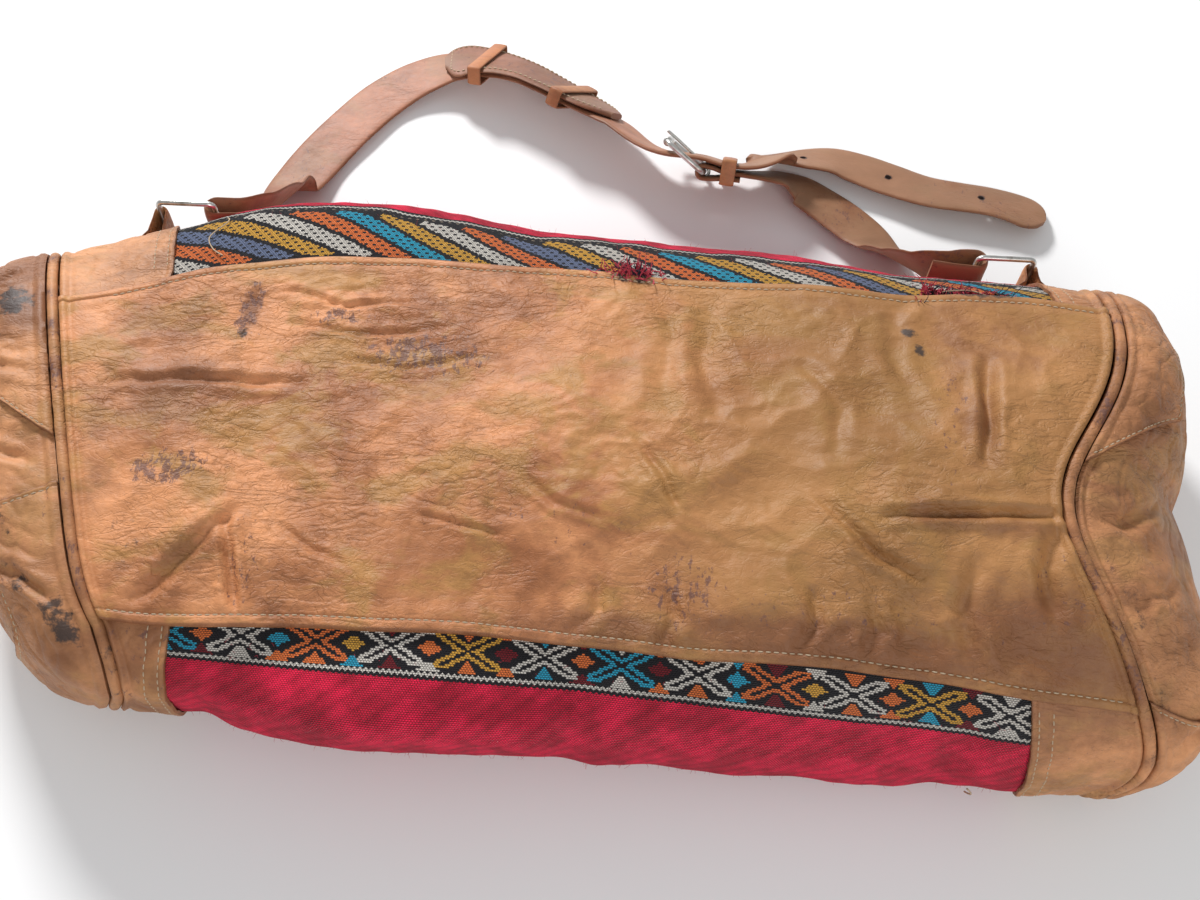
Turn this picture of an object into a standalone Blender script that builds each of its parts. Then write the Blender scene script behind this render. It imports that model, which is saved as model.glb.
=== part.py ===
# Duffle bag of leather and kilim, empty and slumped, lying with its base panel up.
# Metres. X runs along the bag, +Y to the side where the shoulder strap lies, +Z up,
# and the surface that the bag lies on is z = 0.
import math

import bmesh
import bpy
import numpy as np
from mathutils import Matrix

# The bag's skin: sizes of its panels, measured round the bag and along it
BASE_DEPTH = 0.244
KILIM_DEPTH = 0.215
TOP_DEPTH = 0.120
HALF_LENGTH = 0.2885
SKIN_FLOOR = 0.0018
LEFT_BULGE = 0.066
RIGHT_BULGE = 0.047

# How the empty bag has slumped, at five places from the left seam to the right seam
CROWN = [0.096, 0.098, 0.108, 0.122, 0.134]
WIDTH = [0.272, 0.344, 0.334, 0.326, 0.299]
MIDDLE = [0.004, 0.020, 0.0175, 0.010, 0.000]
ROLL = [0.007, 0.002, 0.008, 0.015, 0.027]
SHOULDER = [0.062, 0.066, 0.048, 0.036, 0.032]

# Thicknesses and the small gap between pieces that lie on each other
GAP = 0.0003
LAYER_GAP = 0.0005
LEATHER = 0.0020
STRIP_LEATHER = 0.0015
KILIM_THICK = 0.0025
HEM_OVERLAP = 0.012
TOP_OVERLAP = 0.006
PIPING_RADIUS = 0.0032
SEAM_GAP = 0.0010

# Where each kilim ends under its leather corner strip: x at the hem, x at the top strip
STRIP_EDGE = {
    "front_left": (-0.7383 * HALF_LENGTH, -0.7556 * HALF_LENGTH),
    "front_right": (0.7695 * HALF_LENGTH, 0.8666 * HALF_LENGTH),
    "back_left": (-0.8873 * HALF_LENGTH, -1.0260 * HALF_LENGTH),
    "back_right": (0.8977 * HALF_LENGTH, 0.9081 * HALF_LENGTH),
}
STRIP_OVERLAP = 0.014
PATCH_GAP = 0.0011

# The torn place in the back kilim, beside the base panel's hem
TEAR_LEFT = 0.176
TEAR_RIGHT = 0.243
TEAR_DEPTH = 0.017

# Zip, in a groove between the top strips
ZIP_Y = 0.034
ZIP_HALF_LENGTH = 0.236
GROOVE_WIDTH = 0.033
GROOVE_DEPTH = 0.0117
TAPE_WIDTH = 0.019
TAPE_THICK = 0.0008
COIL_RADIUS = 0.0013
COIL_GAP = 0.0012
SLIDER_LENGTH = 0.013
SLIDER_WIDTH = 0.0095
SLIDER_PLATE = 0.0011
SLIDER_X = 0.224
PULL_LENGTH = 0.026
PULL_WIDTH = 0.006
PULL_THICK = 0.0013
PULL_BAR = 0.0010
PULL_HOLE = 0.0050
PULL_CORNER = math.hypot(PULL_THICK, PULL_BAR) / 2
BAIL_DROP = 0.0011
BAIL_REACH = 0.0022
BAIL_WIRE = 0.0009
BAIL_WIDTH = 0.0022
BAIL_EASE = 0.0002

# Shoulder strap, its rings and the leather tabs that hold them
STRAP_WIDTH = 0.040
STRAP_THICK = 0.0036
RING_WIRE = 0.0018
RING_LENGTH = 0.036
RING_HEIGHT = 0.046
RING_CORNER = 0.004
LEFT_RING_X = -0.287
RIGHT_RING_X = 0.271
LEFT_RING_STANDOFF = 0.0275
RIGHT_RING_STANDOFF = 0.021
STRAP_LOOP = 0.0065
STRAP_FLAP = 0.028
STRAP_EASE = 0.0012
STRAP_FLOOR = 0.0022
STRAP_TIP = 0.017
TAB_WIDTH = 0.030
TAB_THICK = 0.0022
TAB_FOOT = 0.020

# Shoulder pad and the three leather keepers
PAD_WIDTH = 0.050
PAD_THICK = 0.0048
PAD_ROUND_END = 0.018
PAD_NARROW_END = 0.030
PAD_NARROW_SHARE = 0.30
KEEPER_WIDTH = 0.010
KEEPER_THICK = 0.0014
KEEPER_EASE = 0.0011

# Buckle
FRAME_WIRE = 0.0019
FRAME_LENGTH = 0.032
FRAME_CORNER = 0.005
FRAME_SIDE_ROOM = 0.003
FRAME_LIFT = math.radians(32)
ROLLER_WALL = 0.0010
TONGUE_WIRE = 0.0011
TONGUE_OVERHANG = 0.003
HEEL = np.array((0.0657, 0.2790, 0.0215))
HEEL_HEADING = math.radians(-8)
HEEL_LEAN = math.radians(45)
FOLD_FLAP = 0.026
HOLE_RADIUS = 0.0022
HOLE_PLACES = (0.052, 0.116, 0.183)

# Mesh fineness
SECTION_POINTS = 361
PANEL_COLUMNS = 28
PIPING_SIDES = 6
ROUTE_STEPS = 3

ROUND = BASE_DEPTH + 2 * KILIM_DEPTH + TOP_DEPTH
TURN = np.linspace(-math.pi, math.pi, SECTION_POINTS)
UNDERSIDE_START = 0.23
RUN_END = 1 - (PIPING_RADIUS + SEAM_GAP) / HALF_LENGTH
KILIM_END = RUN_END - 0.01
UP = np.array((0.0, 0.0, 1.0))
# The buckle's own directions: along the strap, across it towards the bag, and out of its face
HEEL_ALONG = np.array((math.cos(HEEL_HEADING), math.sin(HEEL_HEADING), 0.0))
HEEL_AXIS = np.cross(HEEL_ALONG, UP) * math.cos(HEEL_LEAN) + UP * math.sin(HEEL_LEAN)
HEEL_OUT = np.cross(HEEL_AXIS, HEEL_ALONG)


# Materials
def material(name, colour, roughness, metallic=0.0):
    """A Principled material, made once for each name."""
    made = bpy.data.materials.get(name)
    if made:
        return made
    made = bpy.data.materials.new(name)
    made.use_nodes = True
    shader = made.node_tree.nodes["Principled BSDF"]
    shader.inputs["Base Color"].default_value = (*colour, 1)
    shader.inputs["Roughness"].default_value = roughness
    shader.inputs["Metallic"].default_value = metallic
    return made


def tan_leather():
    return material("tan_leather", (0.47, 0.24, 0.085), 0.5)


def end_leather():
    return material("end_leather", (0.42, 0.21, 0.08), 0.5)


def strap_leather():
    return material("strap_leather", (0.30, 0.14, 0.06), 0.6)


def keeper_leather():
    return material("keeper_leather", (0.50, 0.20, 0.06), 0.5)


def red_kilim():
    return material("red_kilim", (0.48, 0.006, 0.035), 0.95)


def zip_cloth():
    return material("zip_cloth", (0.08, 0.045, 0.025), 0.9)


def nickel():
    return material("nickel", (0.62, 0.61, 0.58), 0.3, 1.0)


# Mesh builders
def finish(name, mesh, finish_material, smooth=60):
    """An object from a closed bmesh, its faces turned outward."""
    bmesh.ops.recalc_face_normals(mesh, faces=mesh.faces)
    data = bpy.data.meshes.new(name)
    mesh.to_mesh(data)
    mesh.free()
    data.materials.append(finish_material)
    data.shade_smooth()
    data.set_sharp_from_angle(angle=math.radians(smooth))
    made = bpy.data.objects.new(name, data)
    bpy.context.scene.collection.objects.link(made)
    return made


def stitch(mesh, first, second, closed):
    """Quads between two rows of vertices, or triangles where one row is a point."""
    count = max(len(first), len(second))
    for i in range(count if closed else count - 1):
        j = (i + 1) % count
        if len(first) == 1:
            mesh.faces.new((first[0], second[j], second[i]))
        elif len(second) == 1:
            mesh.faces.new((first[i], first[j], second[0]))
        else:
            mesh.faces.new((first[i], first[j], second[j], second[i]))


def shell(name, outer, inner, finish_material):
    """A sheet with thickness, between two grids of points [row, column]."""
    mesh = bmesh.new()
    top = [[mesh.verts.new(p) for p in row] for row in outer]
    under = [[mesh.verts.new(p) for p in row] for row in inner]
    for i in range(len(top) - 1):
        stitch(mesh, top[i], top[i + 1], False)
        stitch(mesh, under[i], under[i + 1], False)
    stitch(mesh, top[0], under[0], False)
    stitch(mesh, top[-1], under[-1], False)
    stitch(mesh, [row[0] for row in top], [row[0] for row in under], False)
    stitch(mesh, [row[-1] for row in top], [row[-1] for row in under], False)
    return finish(name, mesh, finish_material)


def dome(name, outer, inner, finish_material):
    """A cap with thickness: rows are closed loops, and the last is drawn together at its middle."""
    mesh = bmesh.new()
    sides = []
    for grid in (outer, inner):
        rows = [[mesh.verts.new(p) for p in row] for row in grid[:-1]]
        rows.append([mesh.verts.new(np.mean(grid[-1], axis=0))])
        for i in range(len(rows) - 1):
            stitch(mesh, rows[i], rows[i + 1], True)
        sides.append(rows[0])
    stitch(mesh, sides[0], sides[1], True)
    return finish(name, mesh, finish_material)


def band(name, loops, finish_material):
    """A ring-shaped body: closed loops of points, each joined to the next and the last to the first."""
    mesh = bmesh.new()
    rows = [[mesh.verts.new(p) for p in loop] for loop in loops]
    for i, row in enumerate(rows):
        stitch(mesh, row, rows[(i + 1) % len(rows)], True)
    return finish(name, mesh, finish_material)


def rod(name, loops, finish_material):
    """A body swept through closed loops of points, with flat ends."""
    mesh = bmesh.new()
    rows = [[mesh.verts.new(p) for p in loop] for loop in loops]
    for i in range(len(rows) - 1):
        stitch(mesh, rows[i], rows[i + 1], True)
    mesh.faces.new(rows[0])
    mesh.faces.new(rows[-1])
    return finish(name, mesh, finish_material)


def box(name, low, high, finish_material):
    """A plain block between two corners."""
    x, y, z = zip(low, high)
    ends = [[(x[i], y[0], z[0]), (x[i], y[1], z[0]), (x[i], y[1], z[1]), (x[i], y[0], z[1])] for i in (0, 1)]
    return rod(name, ends, finish_material)


def unit(vector):
    return np.asarray(vector, float) / np.linalg.norm(vector)


def circle(centre, side, other, radius, count):
    """Points round a circle in the plane of two unit vectors."""
    angles = [2 * math.pi * k / count for k in range(count)]
    return [centre + radius * (math.cos(a) * side + math.sin(a) * other) for a in angles]


def wire_loop(name, path, axis, radius, finish_material, sides=8):
    """Round wire along a closed flat path; axis is the normal of the path's plane."""
    loops = []
    for i, point in enumerate(path):
        along_wire = unit(path[(i + 1) % len(path)] - path[i - 1])
        loops.append(circle(point, axis, np.cross(along_wire, axis), radius, sides))
    return band(name, loops, finish_material)


def round_rectangle(centre, side, other, half_side, half_other, corner, steps=4):
    """Points round a rectangle with round corners."""
    points = []
    for quarter, (a, b) in enumerate(((1, 1), (-1, 1), (-1, -1), (1, -1))):
        for k in range(steps + 1):
            angle = (quarter + k / steps) * math.pi / 2
            x = a * (half_side - corner) + corner * math.cos(angle)
            y = b * (half_other - corner) + corner * math.sin(angle)
            points.append(centre + x * side + y * other)
    return points


def set_origin(made, point):
    """Puts a moving piece's origin on its joint, and leaves the piece where it is."""
    made.data.transform(Matrix.Translation([-value for value in point]))
    made.location = point


def cut(target, cutter):
    """Takes the cutter's shape out of the target."""
    cutter.hide_render = True
    cutter.display_type = "WIRE"
    change = target.modifiers.new("cut_" + cutter.name, "BOOLEAN")
    change.operation = "DIFFERENCE"
    change.object = cutter


# The bag's skin
def along(values, u):
    """Smooth value at u, from -1 at the left seam to 1 at the right seam."""
    place = (u + 1) / 2 * (len(values) - 1)
    i = int(min(max(place, 0), len(values) - 2))
    f = place - i
    low, high = values[i], values[i + 1]
    slope_low = (high - values[i - 1]) / 2 if i > 0 else high - low
    slope_high = (values[i + 2] - low) / 2 if i < len(values) - 2 else high - low
    ends = low * (1 + 2 * f) * (1 - f) ** 2 + high * f * f * (3 - 2 * f)
    return ends + slope_low * f * (1 - f) ** 2 - slope_high * f * f * (1 - f)


def power(value, exponent):
    return np.sign(value) * np.abs(value) ** exponent


def bump(value, centre, width):
    return np.exp(-(((value - centre) / width) ** 2))


def section(u):
    """The slumped bag's cross-section: y and z once round, flat where it meets the surface."""
    crown, width, middle, shoulder = [along(v, u) for v in (CROWN, WIDTH, MIDDLE, SHOULDER)]
    y = middle - width / 2 * power(np.sin(TURN), 0.80)
    lift = np.cos(TURN)
    above = shoulder + (crown - shoulder) * power(lift, 0.86)
    below = shoulder - (shoulder - SKIN_FLOOR + 0.002) * np.abs(lift) ** 0.55
    return y, np.maximum(np.where(lift > 0, above, below), SKIN_FLOOR)


def seam_x(side, s):
    """Where an end seam lies: it slants, and the right one is pushed in at its middle."""
    if side < 0:
        middle = -HALF_LENGTH - 0.012
        seam = -HALF_LENGTH - 0.003 + 0.26 * np.clip(s, -0.2, 0.13) + 0.017 * bump(s, 0.168, 0.042)
    else:
        middle = HALF_LENGTH - 0.011
        dent = 0.036 * bump(s, 0.008, 0.064)
        seam = middle - 0.10 * np.clip(s, -0.2, 0.2) - dent + 0.028 * bump(s, 0.17, 0.06)
    # The two ends of the seam meet under the bag
    under = np.clip((np.abs(s) - UNDERSIDE_START) / (ROUND / 2 - UNDERSIDE_START), 0, 1)
    under = under * under * (3 - 2 * under)
    return seam + (middle - seam) * under


def section_places(u, s):
    """y and z at the distances s round the section; s = 0 is the base panel's middle."""
    y, z = section(u)
    run = np.concatenate([[0], np.cumsum(np.hypot(np.diff(y), np.diff(z)))])
    place = np.interp(0, TURN, run) + (along(ROLL, u) + s) * run[-1] / ROUND
    place = np.mod(place, run[-1])
    return np.interp(place, run, y), np.interp(place, run, z)


def skin(u, s, lift=0.0):
    """Points of the skin [row, column], raised outward by lift. u runs along, s runs round."""
    u, s = np.broadcast_arrays(np.asarray(u, float), np.asarray(s, float))
    step = 0.002

    def surface(u_at, s_at):
        points = np.zeros(u_at.shape + (3,))
        for value in np.unique(u_at):
            here = u_at == value
            points[here, 1], points[here, 2] = section_places(value, s_at[here])
        share = (u_at + 1) / 2
        points[..., 0] = seam_x(-1, s_at) * (1 - share) + seam_x(1, s_at) * share
        return points

    round_bag = surface(u, s + step) - surface(u, s - step)
    along_bag = surface(u + step, s) - surface(u - step, s)
    outward = np.cross(round_bag, along_bag)
    outward /= np.linalg.norm(outward, axis=-1, keepdims=True)
    return surface(u, s) + outward * np.asarray(lift)[..., None]


def u_at_x(x, s):
    left, right = seam_x(-1, s), seam_x(1, s)
    return 2 * (x - left) / (right - left) - 1


def s_at_floor(u, y):
    """The distance round the section where its flat underside has this y."""
    at_y, at_z = section(u)
    run = np.concatenate([[0], np.cumsum(np.hypot(np.diff(at_y), np.diff(at_z)))])
    crown = np.interp(0, TURN, run)
    quarter = len(TURN) // 4
    if y <= at_y[-1]:
        place = np.interp(y, at_y[3 * quarter :], run[3 * quarter :])
    else:
        place = np.interp(y, at_y[:quarter], run[:quarter]) + run[-1]
    return (place - crown) * ROUND / run[-1] - along(ROLL, u)


def panel(name, u_edges, s_lines, lifts, columns, finish_material):
    """A sheet on the skin. u_edges are numbers or functions; s_lines are its rows round the bag."""
    column_share = np.linspace(0, 1, columns + 1)[None, :]
    s = np.array([line + 0 * column_share[0] for line in s_lines])
    u_low, u_high = [e(s) if callable(e) else e for e in u_edges]
    u = u_low + (u_high - u_low) * column_share + 0 * s
    low, high = [lift(u) if callable(lift) else lift for lift in lifts]
    return shell(name, skin(u, s, high + 0 * u), skin(u, s, low + 0 * u), finish_material)


HEM = BASE_DEPTH / 2
UNDER_HEM = HEM - HEM_OVERLAP
TOP_START = HEM + KILIM_DEPTH
# Rows round the bag that its panels share, so that layers lie on each other without crossing
BASE_LINES = [*np.linspace(0, UNDER_HEM, 6), HEM]
SIDE_LINES = [UNDER_HEM, *np.linspace(HEM, TOP_START, 11)]


def strip_edge_u(corner, beyond=0.0):
    """The line where a corner strip ends on the kilim, as a function for panel()."""
    x_hem, x_top = STRIP_EDGE[corner]

    def edge(s):
        reach = np.clip((np.abs(s) - HEM) / KILIM_DEPTH, 0, 1)
        u = u_at_x(x_hem + (x_top - x_hem) * reach + beyond, s)
        return np.clip(u, -KILIM_END, KILIM_END)

    return edge


def base_panel():
    """Thick leather base, stepped up at its ends where it passes over the corner strips."""

    def underside(u):
        step = np.clip((np.abs(u) - 0.62) / 0.10, 0, 1)
        return GAP + (STRIP_LEATHER + LAYER_GAP) * step

    def outside(u):
        return underside(u) + LEATHER

    lines = [-line for line in BASE_LINES[:0:-1]] + BASE_LINES
    panel("base_panel", (-RUN_END, RUN_END), lines, (underside, outside), PANEL_COLUMNS + 2, tan_leather())


def kilims():
    """The two woven sides; each runs under the hem, the corner strips and a top strip."""
    lifts = (-KILIM_THICK, 0.0)
    lines = SIDE_LINES + [TOP_START + TOP_OVERLAP]
    ends = [strip_edge_u("front_left", -STRIP_OVERLAP), strip_edge_u("front_right", STRIP_OVERLAP)]
    panel("front_kilim", ends, lines, lifts, PANEL_COLUMNS - 2, red_kilim())
    columns = PANEL_COLUMNS + 4
    x = np.linspace(STRIP_EDGE["back_left"][0], STRIP_EDGE["back_right"][0], columns + 1)
    bay = np.clip(np.minimum(x - TEAR_LEFT, TEAR_RIGHT - x) / 0.010, 0, 1)
    ragged = 1 + 0.12 * np.sin(x * 900)
    torn = UNDER_HEM + (HEM_OVERLAP + TEAR_DEPTH * ragged) * bay
    torn_lines = [-np.maximum(line, torn + 0.002 * k) for k, line in enumerate(lines)]
    ends = [strip_edge_u("back_left", -STRIP_OVERLAP), strip_edge_u("back_right", STRIP_OVERLAP)]
    panel("back_kilim", ends, torn_lines, lifts, columns, red_kilim())


def corner_strips():
    """Leather at each end of each kilim, from the stitched edge to the end seam."""
    lifts = (LAYER_GAP, LAYER_GAP + STRIP_LEATHER)
    for corner, sign, seam in (
        ("front_left", 1, -RUN_END),
        ("front_right", 1, RUN_END),
        ("back_left", -1, -RUN_END),
        ("back_right", -1, RUN_END),
    ):
        edge = strip_edge_u(corner)
        edges = (seam, edge) if seam < 0 else (edge, seam)
        lines = [sign * line for line in SIDE_LINES[:-1] + [TOP_START - GAP]]
        panel(corner + "_corner_strip", edges, lines, lifts, 3, end_leather())


def top_strips():
    """The two leather strips under the bag, each turned up at the zip as the groove's wall."""
    columns = 16
    for name, sign in (("front", 1), ("back", -1)):
        wall_y = ZIP_Y - sign * GROOVE_WIDTH / 2
        outer_rows, inner_rows = [], []
        u = np.linspace(-RUN_END, RUN_END, columns + 1)
        bend = 0.004
        for share in np.linspace(0, 1, 5):
            flat_end = wall_y - sign * bend
            s_flat = np.array([s_at_floor(value, flat_end) for value in u])
            if sign < 0:
                s_flat = s_flat - ROUND
            s = sign * TOP_START + (s_flat - sign * TOP_START) * share
            outer_rows.append(skin(u, s, np.full(len(u), GAP + STRIP_LEATHER)))
            inner_rows.append(skin(u, s, np.full(len(u), GAP)))
        x = outer_rows[-1][:, 0]
        for angle in (30, 60, 90):
            a = math.radians(angle)
            for rows, radius in ((outer_rows, bend), (inner_rows, bend - STRIP_LEATHER)):
                y = wall_y - sign * bend + sign * radius * math.sin(a)
                z = bend - radius * math.cos(a)
                rows.append(np.stack([x, np.full(len(x), y), np.full(len(x), z)], axis=1))
        for rows, y in ((outer_rows, wall_y), (inner_rows, wall_y - sign * STRIP_LEATHER)):
            rows.append(np.stack([x, np.full(len(x), y), np.full(len(x), GROOVE_DEPTH)], axis=1))
        shell(name + "_top_strip", outer_rows, inner_rows, end_leather())


def end_surface(side, s, turn):
    """An end panel's skin: turn is 90 degrees at the seam and 0 at the middle of the bulge."""
    seam = skin(np.full(len(s), float(side)), s)
    end = 0 if side < 0 else -1
    middle_x = seam_x(side, np.linspace(-ROUND / 2, ROUND / 2, 41)).mean()
    centre = np.array((middle_x, MIDDLE[end], (CROWN[end] + SKIN_FLOOR) / 2))
    bulge = LEFT_BULGE if side < 0 else RIGHT_BULGE
    spread = power(math.sin(turn), 0.72)
    points = centre + (seam - centre) * spread
    points[:, 0] += side * (PIPING_RADIUS + SEAM_GAP + bulge * power(math.cos(turn), 0.85))
    return points


def end_point(side, s, turn, lift):
    """Points of an end panel raised outward by lift."""
    step = 0.02
    round_end = end_surface(side, s + step / 4, turn) - end_surface(side, s - step / 4, turn)
    inward = end_surface(side, s, turn - step) - end_surface(side, s, turn + step)
    outward = np.cross(round_end, inward) * side
    outward /= np.maximum(np.linalg.norm(outward, axis=1, keepdims=True), 1e-9)
    return end_surface(side, s, turn) + outward * lift


def end_patch(name, side, s_from, s_to, depth):
    """A second layer of leather over one corner of an end panel; depth narrows to nothing."""
    rows = []
    for lift in (PATCH_GAP + STRIP_LEATHER, PATCH_GAP):
        grid = []
        for share in np.linspace(0, 1, 6):
            turn = math.radians(90 - depth * share)
            s = np.linspace(s_from(share), s_to(share), 22)
            grid.append(end_point(side, s, turn, lift))
        rows.append(grid)
    shell(name, rows[0], rows[1], end_leather())


def ends():
    """The two end panels, each one leather oval with a patch at its upper and lower corner."""
    count = 44
    turns = [math.radians(a) for a in (90, 78, 64, 48, 32, 16, 4)]
    for name, side in (("left", -1), ("right", 1)):
        s = np.arange(count) * ROUND / count - ROUND / 2
        outer = [end_point(side, s, t, 0.0) for t in turns]
        inner = [end_point(side, s, t, -LEATHER) for t in turns]
        dome(name + "_end", outer, inner, end_leather())
    end_patch("left_end_back_patch", -1, lambda k: -0.25 + 0.04 * k, lambda k: 0.000 - 0.06 * k, 46)
    end_patch("left_end_front_patch", -1, lambda k: 0.035 + 0.03 * k, lambda k: 0.26 - 0.04 * k, 40)
    end_patch("right_end_back_patch", 1, lambda k: -0.27 + 0.04 * k, lambda k: -0.016 - 0.05 * k, 46)
    end_patch("right_end_front_patch", 1, lambda k: 0.115 + 0.03 * k, lambda k: 0.26 - 0.04 * k, 36)


def piping():
    """A leather-covered cord in each end seam."""
    count = 44
    for name, side in (("left", -1), ("right", 1)):
        s = np.arange(count) * ROUND / count - ROUND / 2
        centre = skin(np.full(count, float(side)), s)
        raised = skin(np.full(count, float(side)), s, np.full(count, 1.0))
        outward = raised - centre
        outward[:, 0] = 0
        outward /= np.linalg.norm(outward, axis=1, keepdims=True)
        centre = centre + outward * 0.001
        centre[:, 2] = np.maximum(centre[:, 2], PIPING_RADIUS)
        loops = []
        for i in range(count):
            run = unit(centre[(i + 1) % count] - centre[i - 1])
            other = unit(np.cross(run, outward[i]))
            loops.append(circle(centre[i], outward[i], other, PIPING_RADIUS, PIPING_SIDES))
        band(name + "_piping", loops, end_leather())


# Zip
def zip_parts():
    """Tapes over the groove's walls, a coil on each tape's edge, slider, pull and end tabs."""
    tape_low = GROOVE_DEPTH + GAP
    tape_high = tape_low + TAPE_THICK
    coil_z = tape_low - COIL_RADIUS - GAP
    for name, sign in (("front", -1), ("back", 1)):
        near = ZIP_Y + sign * COIL_GAP / 2
        far = ZIP_Y + sign * (COIL_GAP / 2 + TAPE_WIDTH)
        low = (-ZIP_HALF_LENGTH, min(near, far), tape_low)
        high = (ZIP_HALF_LENGTH, max(near, far), tape_high)
        box(name + "_zip_tape", low, high, zip_cloth())
        centre_y = near + sign * COIL_RADIUS
        loops = []
        for x in (-ZIP_HALF_LENGTH + 0.004, ZIP_HALF_LENGTH - 0.004):
            centre = np.array((x, centre_y, coil_z))
            loops.append(circle(centre, np.array((0, 1, 0)), UP, COIL_RADIUS, 8))
        rod(name + "_zip_coil", loops, zip_cloth())
    zip_slider(coil_z, tape_high)
    for name, side in (("left", -1), ("right", 1)):
        zip_end_tab(name, side)


def zip_slider(coil_z, tape_high):
    """Two plates joined by a thin post between the coils, with a bail for the pull."""
    under_top = coil_z - COIL_RADIUS - GAP
    half_length, half_width = SLIDER_LENGTH / 2, SLIDER_WIDTH / 2
    post = COIL_GAP / 2 - GAP
    low = (SLIDER_X - half_length, ZIP_Y - half_width, under_top - SLIDER_PLATE)
    slider = box("zip_slider", low, (SLIDER_X + half_length, ZIP_Y + half_width, under_top), nickel())
    inside = tape_high + GAP
    upper_low = (SLIDER_X - half_length, ZIP_Y - half_width, inside)
    upper_high = (SLIDER_X + half_length, ZIP_Y + half_width, inside + SLIDER_PLATE)
    upper = box("slider_inner_plate", upper_low, upper_high, nickel())
    web_low = (SLIDER_X - half_length * 0.6, ZIP_Y - post, under_top - SLIDER_PLATE / 2)
    web_high = (SLIDER_X + half_length * 0.6, ZIP_Y + post, inside + SLIDER_PLATE / 2)
    web = box("slider_post", web_low, web_high, nickel())
    pivot = pull_pivot()
    outer, inner = BAIL_REACH + BAIL_WIRE, BAIL_REACH
    foot, low = BAIL_DROP + SLIDER_PLATE / 2, -PULL_CORNER - BAIL_EASE
    arch = (
        (-outer, foot),
        (-outer, low - BAIL_WIRE),
        (outer, low - BAIL_WIRE),
        (outer, foot),
        (inner, foot),
        (inner, low),
        (-inner, low),
        (-inner, foot),
    )
    sides = [[pivot + np.array((x, y, z)) for x, z in arch] for y in (-BAIL_WIDTH / 2, BAIL_WIDTH / 2)]
    bail = rod("slider_bail", sides, nickel())
    for part in (upper, web, bail):
        part.hide_render = True
        part.display_type = "WIRE"
        join = slider.modifiers.new("join_" + part.name, "BOOLEAN")
        join.operation = "UNION"
        join.object = part
    set_origin(slider, (SLIDER_X, ZIP_Y, coil_z))
    zip_pull()


def pull_pivot():
    """The pull's hinge axis runs along Y through this point, between the slider and its bail."""
    plate_low = GROOVE_DEPTH - 2 * COIL_RADIUS - GAP - SLIDER_PLATE
    return np.array((SLIDER_X - 0.002, ZIP_Y, plate_low - BAIL_DROP))


def zip_pull():
    """A flat pull whose end bar lies in the bail; its tip hangs almost to the surface."""
    pivot = pull_pivot()
    drop = pivot[2] - PULL_THICK / 2 - 2 * GAP
    slope = math.asin(drop / PULL_LENGTH)
    run = np.array((-math.cos(slope), 0.0, -math.sin(slope)))
    across = np.array((0.0, 1.0, 0.0))
    normal = np.cross(run, across)
    middle = pivot + run * (PULL_LENGTH - PULL_BAR / 2) / 2
    half = (PULL_LENGTH + PULL_BAR / 2) / 2
    outline = round_rectangle(middle, run, across, half, PULL_WIDTH / 2, 0.0010, 3)
    loops = [[p + normal * h for p in outline] for h in (-PULL_THICK / 2, PULL_THICK / 2)]
    pull = rod("zip_pull", loops, nickel())
    hole = pivot + run * (PULL_BAR / 2 + PULL_HOLE / 2)
    eye = round_rectangle(hole, run, across, PULL_HOLE / 2, BAIL_WIDTH / 2 + BAIL_EASE * 2, 0.0004, 2)
    loops = [[p + normal * h for p in eye] for h in (-PULL_THICK, PULL_THICK)]
    cut(pull, rod("pull_eye", loops, nickel()))
    set_origin(pull, pivot)


def zip_end_tab(name, side):
    """A leather tab that closes the groove between the zip's end and the end seam."""
    half = GROOVE_WIDTH / 2 - GAP
    columns = 4
    s_middle = ROUND / 2
    seam = float(seam_x(side, s_middle)) - side * (PIPING_RADIUS + SEAM_GAP)
    start = side * (ZIP_HALF_LENGTH - 0.006)
    x_places = np.linspace(start, seam, columns + 1)
    rows = {True: [], False: []}
    for y in (ZIP_Y - half, ZIP_Y + half):
        for is_outer, z in ((True, 0.0), (False, STRIP_LEATHER)):
            rows[is_outer].append([(x, y, z) for x in x_places])
    shell(name + "_zip_end_tab", rows[True], rows[False], end_leather())


# Strap routes
def smooth_route(stations, steps=ROUTE_STEPS):
    """A smooth curve through the stations, with several points between each two."""
    knots = np.array(stations, float)
    distance = np.concatenate([[0], np.cumsum(np.linalg.norm(np.diff(knots[:, :3], axis=0), axis=1))])
    slopes = np.gradient(knots, distance, axis=0)
    points = []
    for i in range(len(knots) - 1):
        length = distance[i + 1] - distance[i]
        for k in range(steps):
            f = k / steps
            blend = (1 + 2 * f) * (1 - f) ** 2
            point = knots[i] * blend + knots[i + 1] * (1 - blend)
            point += length * (slopes[i] * f * (1 - f) ** 2 - slopes[i + 1] * f * f * (1 - f))
            points.append(point)
    points.append(knots[-1])
    return np.array(points)


def lean_route(stations, steps=ROUTE_STEPS):
    """Centres and edge-to-edge directions of a strap from its lower edge's route.

    A station is x, y, z of the lower edge and the strap's lean in degrees: 0 lies flat
    towards the bag, 90 stands on its edge.
    """
    points = smooth_route(stations, steps)
    heading = np.gradient(points[:, :2], axis=0)
    heading /= np.linalg.norm(heading, axis=1, keepdims=True)
    lean = np.radians(points[:, 3])
    across = np.stack([heading[:, 1] * np.cos(lean), -heading[:, 0] * np.cos(lean), np.sin(lean)], axis=1)
    return points[:, :3] + across * STRAP_WIDTH / 2, across


def ribbon_frames(centres, across):
    """Unit directions across and through a ribbon at each of its points."""
    run = np.gradient(centres, axis=0)
    run /= np.linalg.norm(run, axis=1, keepdims=True)
    across = across - run * (across * run).sum(axis=1, keepdims=True)
    across /= np.linalg.norm(across, axis=1, keepdims=True)
    return across, np.cross(across, run)


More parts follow.
